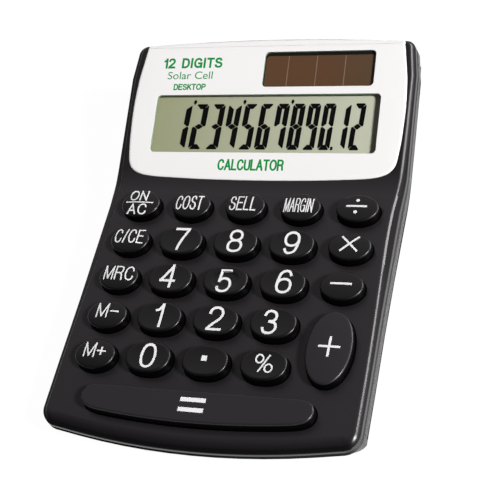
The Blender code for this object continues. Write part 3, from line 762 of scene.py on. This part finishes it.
def clear_pane():
    """A thin clear pane: it lets light through and adds a weak sheen."""
    nodes = Nodes("window_pane")
    through_it = nodes.add("ShaderNodeBsdfTransparent")
    sheen = nodes.add("ShaderNodeBsdfGlossy")
    nodes.link(nodes.between(nodes.noise(900.0), 0.04, 0.08), sheen.inputs["Roughness"])
    facing = nodes.add("ShaderNodeFresnel")
    facing.inputs["IOR"].default_value = 1.1
    outside = nodes.between(nodes.add("ShaderNodeNewGeometry").outputs["Backfacing"], 1.0, 0.0, 0.0, 1.0)
    share = nodes.add("ShaderNodeMath", operation="MULTIPLY")
    nodes.link(facing.outputs["Fac"], share.inputs[0])
    nodes.link(outside, share.inputs[1])
    mixed = nodes.add("ShaderNodeMixShader")
    nodes.link(share.outputs["Value"], mixed.inputs["Fac"])
    nodes.link(through_it.outputs["BSDF"], mixed.inputs[1])
    nodes.link(sheen.outputs["BSDF"], mixed.inputs[2])
    nodes.link(mixed.outputs["Shader"], nodes.output.inputs["Surface"])
    return nodes.material


def across(nodes, low, high):
    """0 to 1 along the object's x, from low to high in millimetres."""
    split = nodes.add("ShaderNodeSeparateXYZ")
    nodes.link(nodes.place, split.inputs["Vector"])
    return nodes.between(split.outputs["X"], 0.0, 1.0, low * MM, high * MM)


def lcd_material():
    """Grey-green reflective liquid crystal behind a matt front polariser. A painted glare lightens it from
    left to right.
    """
    nodes = Nodes("lcd_grey_green")
    # Painted light: glare from the right is painted as a colour ramp across x.
    colour = nodes.blend(across(nodes, -42.0, 34.0), (0.302, 0.315, 0.186), (0.49, 0.505, 0.395))
    nodes.put("Base Color", colour)
    fine = nodes.noise(4000.0)
    nodes.put("Roughness", nodes.between(fine, 0.42, 0.5))
    nodes.put("Specular IOR Level", 0.2)
    nodes.bump(fine, 0.05)
    return nodes.material


def solar_material():
    """Brown amorphous silicon behind its cover, greener at the right, with fine streaks along each cell."""
    nodes = Nodes("solar_film")
    colour = nodes.blend(across(nodes, 20.0, 37.0), (0.098, 0.047, 0.0215), (0.085, 0.051, 0.026))
    nodes.put("Base Color", colour)
    wave = nodes.add("ShaderNodeTexWave", wave_type="BANDS", bands_direction="X")
    nodes.link(nodes.place, wave.inputs["Vector"])
    wave.inputs["Scale"].default_value = 260.0
    wave.inputs["Distortion"].default_value = 1.5
    nodes.put("Roughness", nodes.between(wave.outputs["Fac"], 0.28, 0.36, 0.0, 1.0))
    nodes.bump(nodes.noise(3500.0), 0.04)
    return nodes.material


# ---------------------------------------------------------------- keys

def key_places():
    """Each oval or rounded key as (name, x, s, shape, kind)."""
    rows = (
        ("on_ac", "cost", "sell", "margin", "divide"),
        ("c_ce", "7", "8", "9", "multiply"),
        ("mrc", "4", "5", "6", "minus"),
        ("m_minus", "1", "2", "3", None),
        ("m_plus", "0", "point", "percent", None),
    )
    places = []
    for row, names in enumerate(rows):
        for column, name in enumerate(names):
            if name is None:
                continue
            x = (column - 2) * PITCH_X
            if column == 0:
                x += FIRST_COLUMN_SHIFT
            if column == 4:
                shape, kind = OPERATOR_KEY, "operator"
            elif column == 0 or row == 0:
                shape, kind = FUNCTION_KEY, "function"
            else:
                shape, kind = NUMBER_KEY, "number"
            places.append((name, x, (2 - row) * PITCH_S, shape, "home" if name == "5" else kind))
    places.append(("plus", 2 * PITCH_X, PLUS_S, PLUS_KEY, "operator"))
    return places


def cap_height(x, s, shape, kind):
    """Height of a cap's top at (x, s) from its middle."""
    half_x, half_s, power = shape
    edge = CAP_EDGE[-1][0]
    away = (abs(x) / (half_x - edge)) ** power + (abs(s) / (half_s - edge)) ** power
    reach = min(away ** (1 / power), 1.0)
    rise = DISH[kind]
    if rise > 0:
        return KEY_HEIGHT - rise * reach ** 2
    height = KEY_HEIGHT + rise * (1 - reach ** 2)
    if kind == "home":
        inner, outer, depth = HOME_DISH
        height -= depth * min(max((outer - reach) / (outer - inner), 0.0), 1.0)
    return height


def cap_mesh(shape, kind):
    """A key drawn about its own middle: plunger, flange, wall, rounded edge and a domed or dished top."""
    half_x, half_s, power = shape
    outline = superellipse(*shape)
    flange = superellipse(half_x + FLANGE, half_s + FLANGE, power)
    plunger = circle(PLUNGER_RADIUS, KEY_POINTS)
    rings = [level(plunger, PLUNGER_BOTTOM), level(plunger, FLANGE_BOTTOM), level(flange, FLANGE_BOTTOM)]
    rings += [level(flange, FLANGE_TOP), level(outline, FLANGE_TOP)]
    rim = KEY_HEIGHT - max(DISH[kind], 0.0)
    for distance, drop in CAP_EDGE:
        rings.append(level(superellipse(half_x - distance, half_s - distance, power), rim - drop))
    last = superellipse(half_x - CAP_EDGE[-1][0], half_s - CAP_EDGE[-1][0], power)
    for share in (0.93, 0.84, 0.75, 0.67, 0.6, 0.5, 0.36, 0.2, 0.1):
        ring = [(x * share, s * share) for x, s in last]
        rings.append([(x, s, cap_height(x, s, shape, kind)) for x, s in ring])
    return lofted(rings, (0.0, 0.0, cap_height(0.0, 0.0, shape, kind)))


def equals_mesh():
    face = equals_outline()
    flange = inset(face, -FLANGE)
    rings = [level(flange, FLANGE_BOTTOM), level(flange, FLANGE_TOP), level(face, FLANGE_TOP)]
    for distance, drop in CAP_EDGE:
        rings.append(level(inset(face, distance), KEY_HEIGHT - drop))
    mesh = lofted(rings)
    outlines = [circle(PLUNGER_RADIUS, 32, x) for x in EQUALS_PLUNGERS]
    plungers = [prism(outline, PLUNGER_BOTTOM, FLANGE_BOTTOM + 0.3) for outline in outlines]
    return combined(mesh, "UNION", joined(plungers))


def on_deck(mesh, x, s):
    """Moves a mesh drawn about a key's middle, in millimetres, to its place on the deck, in metres."""
    turn = Matrix.Translation(bent(x, s, 0.0)) @ Matrix.Rotation(KEYBOARD_SLOPE, 4, "X") @ Matrix.Scale(MM, 4)
    mesh.transform(turn)
    return mesh


# ---------------------------------------------------------------- lettering

def text_mesh(words, width, height):
    """Flat lettering in the built-in face as a thin solid, fitted to a width and height about the origin."""
    curve = bpy.data.curves.new("words", "FONT")
    curve.body = words
    curve.extrude = 0.5
    curve.resolution_u = 6
    carrier = new_object("words", curve)
    graph = bpy.context.evaluated_depsgraph_get()
    mesh = bpy.data.meshes.new_from_object(carrier.evaluated_get(graph))
    bpy.data.objects.remove(carrier)
    xs = [v.co.x for v in mesh.vertices]
    ys = [v.co.y for v in mesh.vertices]
    across_x, across_y = max(xs) - min(xs), max(ys) - min(ys)
    mesh.transform(Matrix.Translation((-(max(xs) + min(xs)) / 2, -(max(ys) + min(ys)) / 2, 0)))
    mesh.transform(Matrix.Diagonal((width / across_x, height / across_y, 1, 1)))
    work = bmesh.new()
    work.from_mesh(mesh)
    bmesh.ops.remove_doubles(work, verts=work.verts[:], dist=MERGE)
    return finished(work)


def bar(x0, s0, x1, s1, thick):
    """A straight stroke between two points, as a thin solid."""
    start, end = Vector((x0, s0)), Vector((x1, s1))
    side = (end - start).normalized().orthogonal() * (thick / 2)
    corners = [start - side, end - side, end + side, start + side]
    return prism([tuple(c) for c in corners], -0.5, 0.5)


def laid_on(mesh, surface, above=INK_TOP, step=0.8):
    """Lays a thin solid (z from -0.5 to 0.5) on a surface function of (x, s), with its foot sunk in."""
    work = bmesh.new()
    work.from_mesh(mesh)
    for axis in (0, 1):
        low = min(v.co[axis] for v in work.verts)
        high = max(v.co[axis] for v in work.verts)
        count = int((high - low) / step)
        cut_across(work, axis, [low + step * (i + 1) for i in range(count)])
    for vertex in work.verts:
        lift = above if vertex.co.z > 0 else -INK_FOOT
        vertex.co.z = surface(vertex.co.x, vertex.co.y) + lift
    bmesh.ops.triangulate(work, faces=[face for face in work.faces if len(face.verts) > 4])
    return finished(work)


def moved(mesh, x, s):
    mesh.transform(Matrix.Translation((x, s, 0)))
    return mesh


def swept(path, thick, closed):
    """A stroke of one width along a smooth path, as a thin solid."""
    count = len(path)
    rings = []
    for i, point in enumerate(path):
        before = Vector(path[i - 1] if closed or i else point)
        after = Vector(path[(i + 1) % count] if closed or i < count - 1 else point)
        along = (after - before).normalized() * (thick / 2)
        left = (point[0] - along.y, point[1] + along.x)
        right = (point[0] + along.y, point[1] - along.x)
        rings.append([(*left, -0.5), (*right, -0.5), (*right, 0.5), (*left, 0.5)])
    work = bmesh.new()
    loops = [[work.verts.new(corner) for corner in ring] for ring in rings]
    for i in range(count if closed else count - 1):
        this, following = loops[i], loops[(i + 1) % count]
        for j in range(4):
            k = (j + 1) % 4
            work.faces.new((this[j], this[k], following[k], following[j]))
    if not closed:
        work.faces.new(loops[0][::-1])
        work.faces.new(loops[-1])
    return finished(work)


def glyph_strokes(letter, x, s, width, height, thick):
    """The strokes of one glyph, its centre lines fitted to a box whose lower left corner is (x, s)."""
    made = []
    for kind, points in GLYPHS[letter][1]:
        placed = [(x + px * width, s + ps * height) for px, ps in points]
        if kind == "line":
            for start, end in zip(placed, placed[1:]):
                more = (Vector(end) - Vector(start)).normalized() * (thick / 2)
                made.append(bar(*(Vector(start) - more), *(Vector(end) + more), thick))
        else:
            closed = kind == "loop"
            made.append(swept(through(placed, 5, closed), thick, closed))
    return made


def word(letters, width, height, thick, x=0.0, s=0.0):
    """Strokes of a word fitted to a width and height about (x, s)."""
    wide = sum(GLYPHS[letter][0] for letter in letters) + LETTER_GAP * (len(letters) - 1)
    unit = (width - thick) / wide
    at = x - (width - thick) / 2
    made = []
    for letter in letters:
        size = GLYPHS[letter][0] * unit
        made += glyph_strokes(letter, at, s - (height - thick) / 2, size, height - thick, thick)
        at += size + LETTER_GAP * unit
    return made


def dot(x, s, radius):
    return moved(prism(circle(radius, 20), -0.5, 0.5), x, s)


def legends():
    """Legend strokes of each key, drawn about the key's middle."""
    made = {digit: word(digit, 5.3, 8.5, 0.84, 0.1, 0.3) for digit in "0289"}
    made["1"] = word("1", 3.2, 8.5, 0.84, -0.4, 0.35)
    made["3"] = word("3", 5.1, 8.5, 0.84, -1.0, 0.1)
    made["4"] = word("4", 5.4, 8.6, 0.84, -0.7, 0.5)
    made["5"] = word("5", 5.1, 8.4, 0.84, -0.3, -0.4)
    made["6"] = word("6", 5.3, 8.5, 0.84, 0.6, 0.3)
    made["7"] = word("7", 5.3, 8.5, 0.84, 0.2, 0.3)
    made["on_ac"] = word("ON", 6.5, 4.2, 0.46, -1.05, 2.85)
    made["on_ac"] += [bar(-5.3, 0.15, 4.7, 0.15, 0.4)] + word("AC", 6.9, 4.1, 0.46, -0.55, -2.5)
    made["cost"] = word("COST", 9.6, 5.6, 0.46, -0.55, 0.5)
    made["sell"] = word("SELL", 9.4, 5.5, 0.46, -0.6, 0.7)
    made["margin"] = word("MARGIN", 9.7, 5.4, 0.34, -0.5, 0.5)
    made["c_ce"] = word("C/CE", 10.4, 5.4, 0.46, -0.2, 0.9)
    made["mrc"] = word("MRC", 10.5, 5.3, 0.46, 0.15, 0.9)
    made["m_minus"] = word("M", 3.9, 5.3, 0.46, -1.55, 1.1) + [bar(1.2, 0.9, 4.1, 0.9, 0.5)]
    made["m_plus"] = word("M", 3.9, 5.3, 0.46, -1.75, 1.1)
    made["m_plus"] += [bar(0.75, 0.8, 3.75, 0.8, 0.5), bar(2.25, -0.65, 2.25, 2.25, 0.5)]
    made["point"] = [bar(-1.2, 0.7, 0.6, 0.7, 1.8)]
    made["percent"] = word("%", 6.1, 6.2, 0.5, 0.15, 0.3)
    made["divide"] = [bar(-3.6, 0.5, 3.2, 0.5, 0.68), dot(-0.1, 2.7, 0.6), dot(-0.3, -1.7, 0.6)]
    made["multiply"] = [bar(-2.8, 3.4, 2.8, -2.0, 0.66), bar(-2.8, -2.0, 2.8, 3.4, 0.66)]
    made["minus"] = [bar(-3.55, 0.5, 3.35, 0.5, 0.72)]
    made["plus"] = [bar(-3.2, 0.1, 3.6, 0.1, 0.72), bar(0.2, -3.3, 0.2, 3.5, 0.72)]
    made["equals"] = [bar(-4.4, 2.1, 3.8, 2.1, 1.4), bar(-4.5, -1.2, 3.7, -1.2, 1.4)]
    return made


def union_of(meshes):
    """One closed mesh from strokes that may cross."""
    whole = meshes[0]
    for mesh in meshes[1:]:
        whole = combined(whole, "UNION", mesh)
    return whole


def make_keys():
    cap = key_material("key_plastic", (0.0042, 0.0037, 0.0042))
    long_cap = key_material("long_key_plastic", (0.0165, 0.0145, 0.017))
    ink = plastic("white_ink", (0.85, 0.85, 0.85), 0.5, spread=0.03, bump=0.03)
    strokes = legends()
    for name, x, s, shape, kind in key_places():
        body = f"key_{name}_body"
        mesh = on_deck(cap_mesh(shape, kind), x, s)
        plastic_used = long_cap if name == "plus" else cap
        piece(f"cap_{name}", mesh, plastic_used, body, "key_black", [f"key_{name}"])

        def top(px, ps, shape=shape, kind=kind):
            return cap_height(px, ps, shape, kind)

        drawn = laid_on(union_of(strokes[name]), top)
        piece(f"legend_{name}", on_deck(drawn, x, s), ink, body, "key_black")
    mesh = on_deck(equals_mesh(), 0.0, EQUALS_S)
    piece("cap_equals", mesh, long_cap, "key_equals_body", "key_black", ["key_equals"])
    drawn = laid_on(union_of(strokes["equals"]), lambda x, s: KEY_HEIGHT)
    piece("legend_equals", on_deck(drawn, 0.0, EQUALS_S), ink, "key_equals_body", "key_black")


# ---------------------------------------------------------------- deck

def flared(outline):
    """A cutter for a key hole, with a small break along its top edge."""
    hole = inset(outline, -HOLE_GAP)
    rings = [(hole, CEILING - 1), (hole, -0.22), (inset(hole, -0.05), -0.08), (inset(hole, -0.2), 0.0)]
    return stacked(rings + [(inset(hole, -0.2), 1.0)])


def make_deck():
    outer = slab_outline()
    inner = inset(outer, UPPER_WALL)
    rings = [level(inner, CEILING), level(inner, UPPER_BOTTOM), level(inset(outer, 0.15), UPPER_BOTTOM)]
    rings.append(level(outer, UPPER_BOTTOM + 0.12))
    rings += [rolled_ring(outer, *edge) for edge in DECK_EDGE]
    mesh = lofted(rings)
    seat = inset(panel_outline(), -PANEL_GAP)
    seat = [(x, s + 3.0 if s > 89.0 else s) for x, s in seat]
    mesh = combined(mesh, "DIFFERENCE", prism(seat, -PANEL_DEPTH, 2.0))
    tools = []
    for _, x, s, shape, _ in key_places():
        outline = [(x + px, s + ps) for px, ps in superellipse(*shape)]
        tools.append(flared(outline))
    outline = [(px, EQUALS_S + ps) for px, ps in equals_outline()]
    tools.append(flared(outline))
    for x0, s0, x1, s1 in (LCD_OPENING, SOLAR_OPENING):
        grown = (x0 - OPENING_STEP, s0 - OPENING_STEP, x1 + OPENING_STEP, s1 + OPENING_STEP)
        tools.append(prism(rounded_box(*grown, 2.0), CEILING - 1, 1.0))
    mesh = combined(mesh, "DIFFERENCE", joined(tools))
    black = deck_material((0.0115, 0.0098, 0.0112))
    bent_piece("deck_shell", mesh, black, "case", "case_black", ["upper_case"])


# ---------------------------------------------------------------- display

def make_panel():
    outline = panel_outline()
    rings = [(inset(outline, 0.1), -PANEL_THICKNESS)]
    rings += [(inset(outline, distance), -drop) for distance, drop in PANEL_EDGE]
    mesh = stacked(rings)
    tools = []
    for box in (LCD_OPENING, SOLAR_OPENING):
        hole = rounded_box(*box, 1.4)
        wide = inset(hole, -0.14)
        rings = [(hole, -2.0), (hole, -0.14), (inset(hole, -0.05), -0.04), (wide, 0.0), (wide, 1.0)]
        tools.append(stacked(rings))
    mesh = combined(mesh, "DIFFERENCE", joined(tools))
    white = panel_material()
    bent_piece("panel_plate", mesh, white, "case", "panel_white", ["display_panel"])


def make_printing():
    """Generic green words on the panel."""
    green = plastic("green_ink", (0.001, 0.27, 0.045), 0.45, spread=0.05, bump=0.03, specular=0.2)
    lines = (
        ("print_digits", "12 DIGITS", 22.4, 3.8, 0.74, -28.6, 83.4),
        ("print_desk", "DESKTOP", 12.0, 2.3, 0.46, -28.5, 74.5),
        ("print_name", "CALCULATOR", 23.6, 4.0, 0.66, -2.4, 46.2),
    )
    for name, words, width, height, thick, x, s in lines:
        mesh = union_of(word(words, width, height, thick, x, s))
        flat = laid_on(mesh, lambda px, ps: 0.0, above=PRINT_TOP, step=2.5)
        bent_piece(name, flat, green, "case", "panel_white")
    mesh = moved(text_mesh("Solar Cell", 16.8, 2.8), -28.9, 78.8)
    flat = laid_on(mesh, lambda px, ps: 0.0, above=PRINT_TOP, step=2.5)
    bent_piece("print_cell", flat, green, "case", "panel_white")


def segment_shapes():
    """The seven strokes of one digit, in a box DIGIT_WIDTH by DIGIT_HEIGHT, with mitred ends."""
    w, h, g = DIGIT_WIDTH, DIGIT_HEIGHT, SEGMENT_GAP
    half = h / 2
    top = [(0.45, h - 0.35), (0.8, h), (w - 0.8, h), (w - 0.45, h - 0.35), (w - ARM, h - ARM), (ARM, h - ARM)]
    upper_left = [(0.25, h - 0.5), (STEM, h - ARM - g), (STEM, half + ARM / 2 + g), (0.8, half + g),
                  (0.3, half + g), (0, half + 0.5), (0, h - 0.9)]
    lower_left = [(0.3, half - g), (0.8, half - g), (STEM, half - ARM / 2 - g), (STEM, ARM + g),
                  (0.25, 0.5), (0, 0.9), (0, half - 0.5)]
    middle = [(0.9, half), (STEM + g, half + ARM / 2), (w - STEM - g, half + ARM / 2), (w - 0.9, half),
              (w - STEM - g, half - ARM / 2), (STEM + g, half - ARM / 2)]
    shapes = {"a": top, "f": upper_left, "e": lower_left, "g": middle}
    shapes["d"] = [(x, h - s) for x, s in top]
    shapes["b"] = [(w - x, s) for x, s in upper_left]
    shapes["c"] = [(w - x, s) for x, s in lower_left]
    return shapes


def anticlockwise(outline):
    area = sum(x0 * s1 - x1 * s0 for (x0, s0), (x1, s1) in zip(outline, outline[1:] + outline[:1]))
    return outline if area > 0 else outline[::-1]


def leaned(outline, place):
    """An outline drawn in a digit's own box, moved to its place on the glass."""
    points = []
    for px, ps in outline:
        along = place + px / DIGIT_PITCH
        x = DIGIT_X + DIGIT_PITCH * along - DIGIT_NARROWING * along ** 2
        points.append((x + ps * DIGIT_LEAN, DIGIT_S + ps))
    return points


def make_digits():
    """The shown number, with raised separators and a decimal point."""
    shapes = segment_shapes()
    strokes = []
    for place, digit in enumerate("123456789012", -1):
        for letter in SEGMENTS[digit]:
            strokes.append(leaned(shapes[letter], place))
    h = DIGIT_HEIGHT
    gap = (DIGIT_WIDTH + DIGIT_PITCH) / 2 + 0.15
    comma = [(-0.55, h + 0.2), (0.45, h + 0.2), (0.55, h + 1.0), (0.2, h + 1.5)]
    comma += [(-0.35, h + 1.5), (-0.6, h + 0.9)]
    tail = [(0.35, h + 0.25), (-0.1, h + 0.25), (-0.35, h - 0.25), (-0.1, h - 0.25), (0.2, h)]
    for place in (-1, 2, 5):
        for outline in (comma, tail):
            strokes.append(leaned([(gap + px, ps) for px, ps in outline], place))
    point = [(gap - 0.5, 0.0), (gap + 0.5, 0.0), (gap + 0.5, 1.2), (gap - 0.5, 1.2)]
    strokes.append(leaned(point, 8))
    mesh = joined([prism(anticlockwise(stroke), GLASS_TOP - 0.02, GLASS_TOP + 0.05) for stroke in strokes])
    dark = plastic("lcd_segment", (0.003, 0.003, 0.003), 0.6, bump=0.02, specular=0.05)
    bent_piece("lcd_digits", mesh, dark, "case", "lcd_grey")


def make_solar_print():
    """What shows on the solar pane: a dark border, widened at the back as painted shade of the opening's
    wall, and pale gaps between four cells.
    """
    x0, s0, x1, s1 = SOLAR_OPENING
    # Painted shade: the dark ring stands in, along its wide back edge, for the shade of the opening's wall on
    # the cells.
    border = prism(rounded_box(x0 - 0.4, s0 - 0.4, x1 + 0.4, s1 + 0.4, 1.6), PANE_TOP - 0.05, PANE_TOP + 0.04)
    clear = prism(rounded_box(x0 + 0.25, s0 + 0.2, x1 - 0.5, s1 - 1.05, 1.1), PANE_TOP - 1, PANE_TOP + 1)
    dark = plastic("solar_border_and_shade", (0.008, 0.007, 0.006), 0.4, bump=0.03, specular=0.3)
    bent_piece("solar_border_and_shade", combined(border, "DIFFERENCE", clear), dark, "case", "solar_brown")
    gaps = [rounded_box(x - 0.14, s0 + 0.3, x + 0.14, s1 - 1.1, 0.1, 2) for x in CELL_GAPS_X]
    lines = [prism(gap, PANE_TOP - 0.02, PANE_TOP + 0.03) for gap in gaps]
    pale = plastic("cell_gap", (0.20, 0.14, 0.105), 0.5, bump=0.03)
    bent_piece("solar_cell_gaps", joined(lines), pale, "case", "solar_brown")


# ---------------------------------------------------------------- key sheet

def make_key_sheet():
    """The web of the rubber sheet, and one dome per plunger."""
    rubber = plastic("silicone", (0.36, 0.37, 0.39), 0.6, grain=1800.0, bump=0.1)
    front, back = BOARD_ENDS
    web = prism(rounded_box(-BOARD_HALF, front, BOARD_HALF, back, 1.0), SHEET_BOTTOM, SHEET_TOP)
    holes = [circle(SCREW_CLEARANCE, 24, x, s) for x, s in BOARD_SCREWS]
    cutters = [prism(hole, SHEET_BOTTOM - 1, SHEET_TOP + 1) for hole in holes]
    web = combined(web, "DIFFERENCE", joined(cutters))
    bent_piece("sheet_web", web, rubber, "case", "sheet_rubber", ["key_sheet"])
    places = [(name, f"press_{name}", x, s) for name, x, s, _, _ in key_places()]
    places += [(f"equals_{i}", "press_equals", x, EQUALS_S) for i, x in enumerate(EQUALS_PLUNGERS, 1)]
    low, high = DOME_RADII
    for name, joint, x, s in places:
        rings = [(circle(low, 24, x, s), SHEET_TOP), (circle(low - 0.25, 24, x, s), SHEET_TOP + 0.25)]
        rings += [(circle(high + 0.15, 24, x, s), DOME_TOP - 0.15), (circle(high - 0.1, 24, x, s), DOME_TOP)]
        dome = bent_piece(f"dome_{name}", stacked(rings), rubber, "case", "sheet_rubber")
        bent(x, s, SHEET_TOP)
        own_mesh(dome)


# ---------------------------------------------------------------- kept nodes

def finish_node(node, material):
    """Gives a carried-over node its procedural material and clean shading."""
    mesh = node.data
    if "custom_normal" in mesh.attributes:
        mesh.attributes.remove(mesh.attributes["custom_normal"])
    mesh.materials.clear()
    mesh.materials.append(material)
    mesh.shade_smooth()
    weld = node.modifiers.new("weld", "WELD")
    weld.merge_threshold = NODE_WELD
    split = node.modifiers.new("split", "EDGE_SPLIT")
    split.split_angle = NODE_SHARP_ANGLE


def finish_nodes(nodes):
    steel = plated_steel()
    rubber = plastic("foot_rubber_matt", (0.02, 0.02, 0.02), 0.8, grain=1500.0, bump=0.2)
    looks = {
        "lower_case": plastic("lower_plastic", (0.0066, 0.0056, 0.0062), 0.4, 0.12, 2200.0, 0.1, 0.8),
        "side_grip_right": plastic("grip_rubber", (0.02, 0.019, 0.0195), 0.5, 0.12, 1500.0, 0.15, 0.8),
        "lcd_glass": lcd_material(),
        "solar_cell": plastic("cell_back", (0.03, 0.02, 0.015), 0.4, grain=900.0, bump=0.05),
        "lcd_window": clear_pane(),
        "solar_window": solar_material(),
        "lcd_ribbon": plastic("ribbon_film", (0.42, 0.22, 0.05), 0.4, grain=800.0, bump=0.05),
        "solar_wire_red": plastic("red_insulation", (0.5, 0.02, 0.02), 0.45, bump=0.05),
        "solar_wire_black": plastic("black_insulation", (0.02, 0.02, 0.02), 0.45, bump=0.05),
        "circuit_board": plastic("solder_mask", (0.03, 0.16, 0.06), 0.35, spread=0.2, grain=1200.0, bump=0.1),
        "chip_resin": plastic("resin_drop", (0.012, 0.012, 0.012), 0.25, grain=500.0, bump=0.2),
        "capacitor": plastic("sleeve_film", (0.02, 0.03, 0.11), 0.3, grain=700.0, bump=0.05),
    }
    looks["side_grip_left"] = looks["side_grip_right"]
    for name, node in nodes.items():
        if node.hide_render:
            continue
        if "screw" in name:
            finish_node(node, steel)
        elif name.startswith("foot_"):
            finish_node(node, rubber)
        else:
            finish_node(node, looks[name])


# ---------------------------------------------------------------- studio

def make_floor():
    """A wide pale floor that glows a little, so that it reads as a white sweep."""
    mesh = bpy.data.meshes.new("floor")
    mesh.from_pydata([(-3, -3, 0), (3, -3, 0), (3, 3, 0), (-3, 3, 0)], [], [(0, 1, 2, 3)])
    floor = new_object("floor", mesh)
    nodes = Nodes("pale_floor")
    colour = nodes.blend(nodes.noise(4.0), (0.045, 0.045, 0.045), (0.055, 0.055, 0.055))
    nodes.put("Base Color", colour)
    nodes.put("Emission Color", (1.0, 1.0, 1.0, 1.0))
    nodes.put("Emission Strength", 0.98)
    nodes.put("Roughness", 0.9)
    nodes.put("Specular IOR Level", 0.0)
    mesh.materials.append(nodes.material)


def make_world():
    """A white backdrop that lights little. In reflections it brightens upwards and towards the back."""
    world = bpy.data.worlds.new("studio")
    bpy.context.scene.world = world
    world.use_nodes = True
    tree = world.node_tree
    background = tree.nodes["Background"]
    place = tree.nodes.new("ShaderNodeTexCoord")
    towards = tree.nodes.new("ShaderNodeVectorMath")
    towards.operation = "DOT_PRODUCT"
    towards.inputs[1].default_value = (0.05, 1.0, 0.0)
    ramp = tree.nodes.new("ShaderNodeMapRange")
    height = tree.nodes.new("ShaderNodeSeparateXYZ")
    overhead = tree.nodes.new("ShaderNodeMapRange")
    for node, limits in ((ramp, (-0.15, 1.1, 0.0, 1.0)), (overhead, (0.0, 0.6, 0.1, 1.0))):
        for key, value in zip(("From Min", "From Max", "To Min", "To Max"), limits):
            node.inputs[key].default_value = value
    path = tree.nodes.new("ShaderNodeLightPath")
    choice = tree.nodes.new("ShaderNodeMix")
    choice.inputs["A"].default_value = 0.07
    seen = tree.nodes.new("ShaderNodeMix")
    seen.inputs["B"].default_value = 1.05
    links = (
        (place.outputs["Generated"], towards.inputs[0]),
        (towards.outputs["Value"], ramp.inputs["Value"]),
        (place.outputs["Generated"], height.inputs["Vector"]),
        (height.outputs["Z"], overhead.inputs["Value"]),
        (overhead.outputs["Result"], ramp.inputs["To Max"]),
        (path.outputs["Is Glossy Ray"], choice.inputs["Factor"]),
        (ramp.outputs["Result"], choice.inputs["B"]),
        (path.outputs["Is Camera Ray"], seen.inputs["Factor"]),
        (choice.outputs["Result"], seen.inputs["A"]),
        (seen.outputs["Result"], background.inputs["Strength"]),
    )
    for source, target in links:
        tree.links.new(source, target)
    background.inputs["Color"].default_value = (1.0, 0.95, 0.985, 1.0)


def make_light(name, direction, distance, size, power, height=None):
    """A square lamp, or with a height a level strip that shows in reflections only."""
    light = bpy.data.lights.new(name, "AREA")
    light.size = size
    light.energy = power
    if height:
        light.shape = "RECTANGLE"
        light.size_y = height
    lamp = new_object(name, light)
    lamp.visible_diffuse = not height
    direction = Vector(direction).normalized()
    lamp.location = direction * distance
    lamp.rotation_euler = direction.to_track_quat("Z", "Y").to_euler()


def make_camera():
    data = bpy.data.cameras.new("camera")
    data.sensor_width = 36.0
    data.lens = CAMERA_LENS
    data.clip_start = 0.01
    camera = new_object("camera", data)
    camera.location = CAMERA_PLACE
    camera.rotation_euler = CAMERA_TURN
    bpy.context.scene.camera = camera


def corners(bounds):
    return [list(corner) for corner in bounds]


def main():
    for old in list(bpy.data.objects):
        bpy.data.objects.remove(old)
    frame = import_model()
    make_deck()
    make_keys()
    make_panel()
    make_printing()
    make_digits()
    make_solar_print()
    make_key_sheet()
    finish_nodes(frame["nodes"])
    make_floor()
    make_world()
    make_light("key_light", *KEY_LIGHT)
    make_light("edge_strip", *EDGE_STRIP)
    make_camera()
    bpy.context.scene.view_settings.view_transform = "Standard"


main()
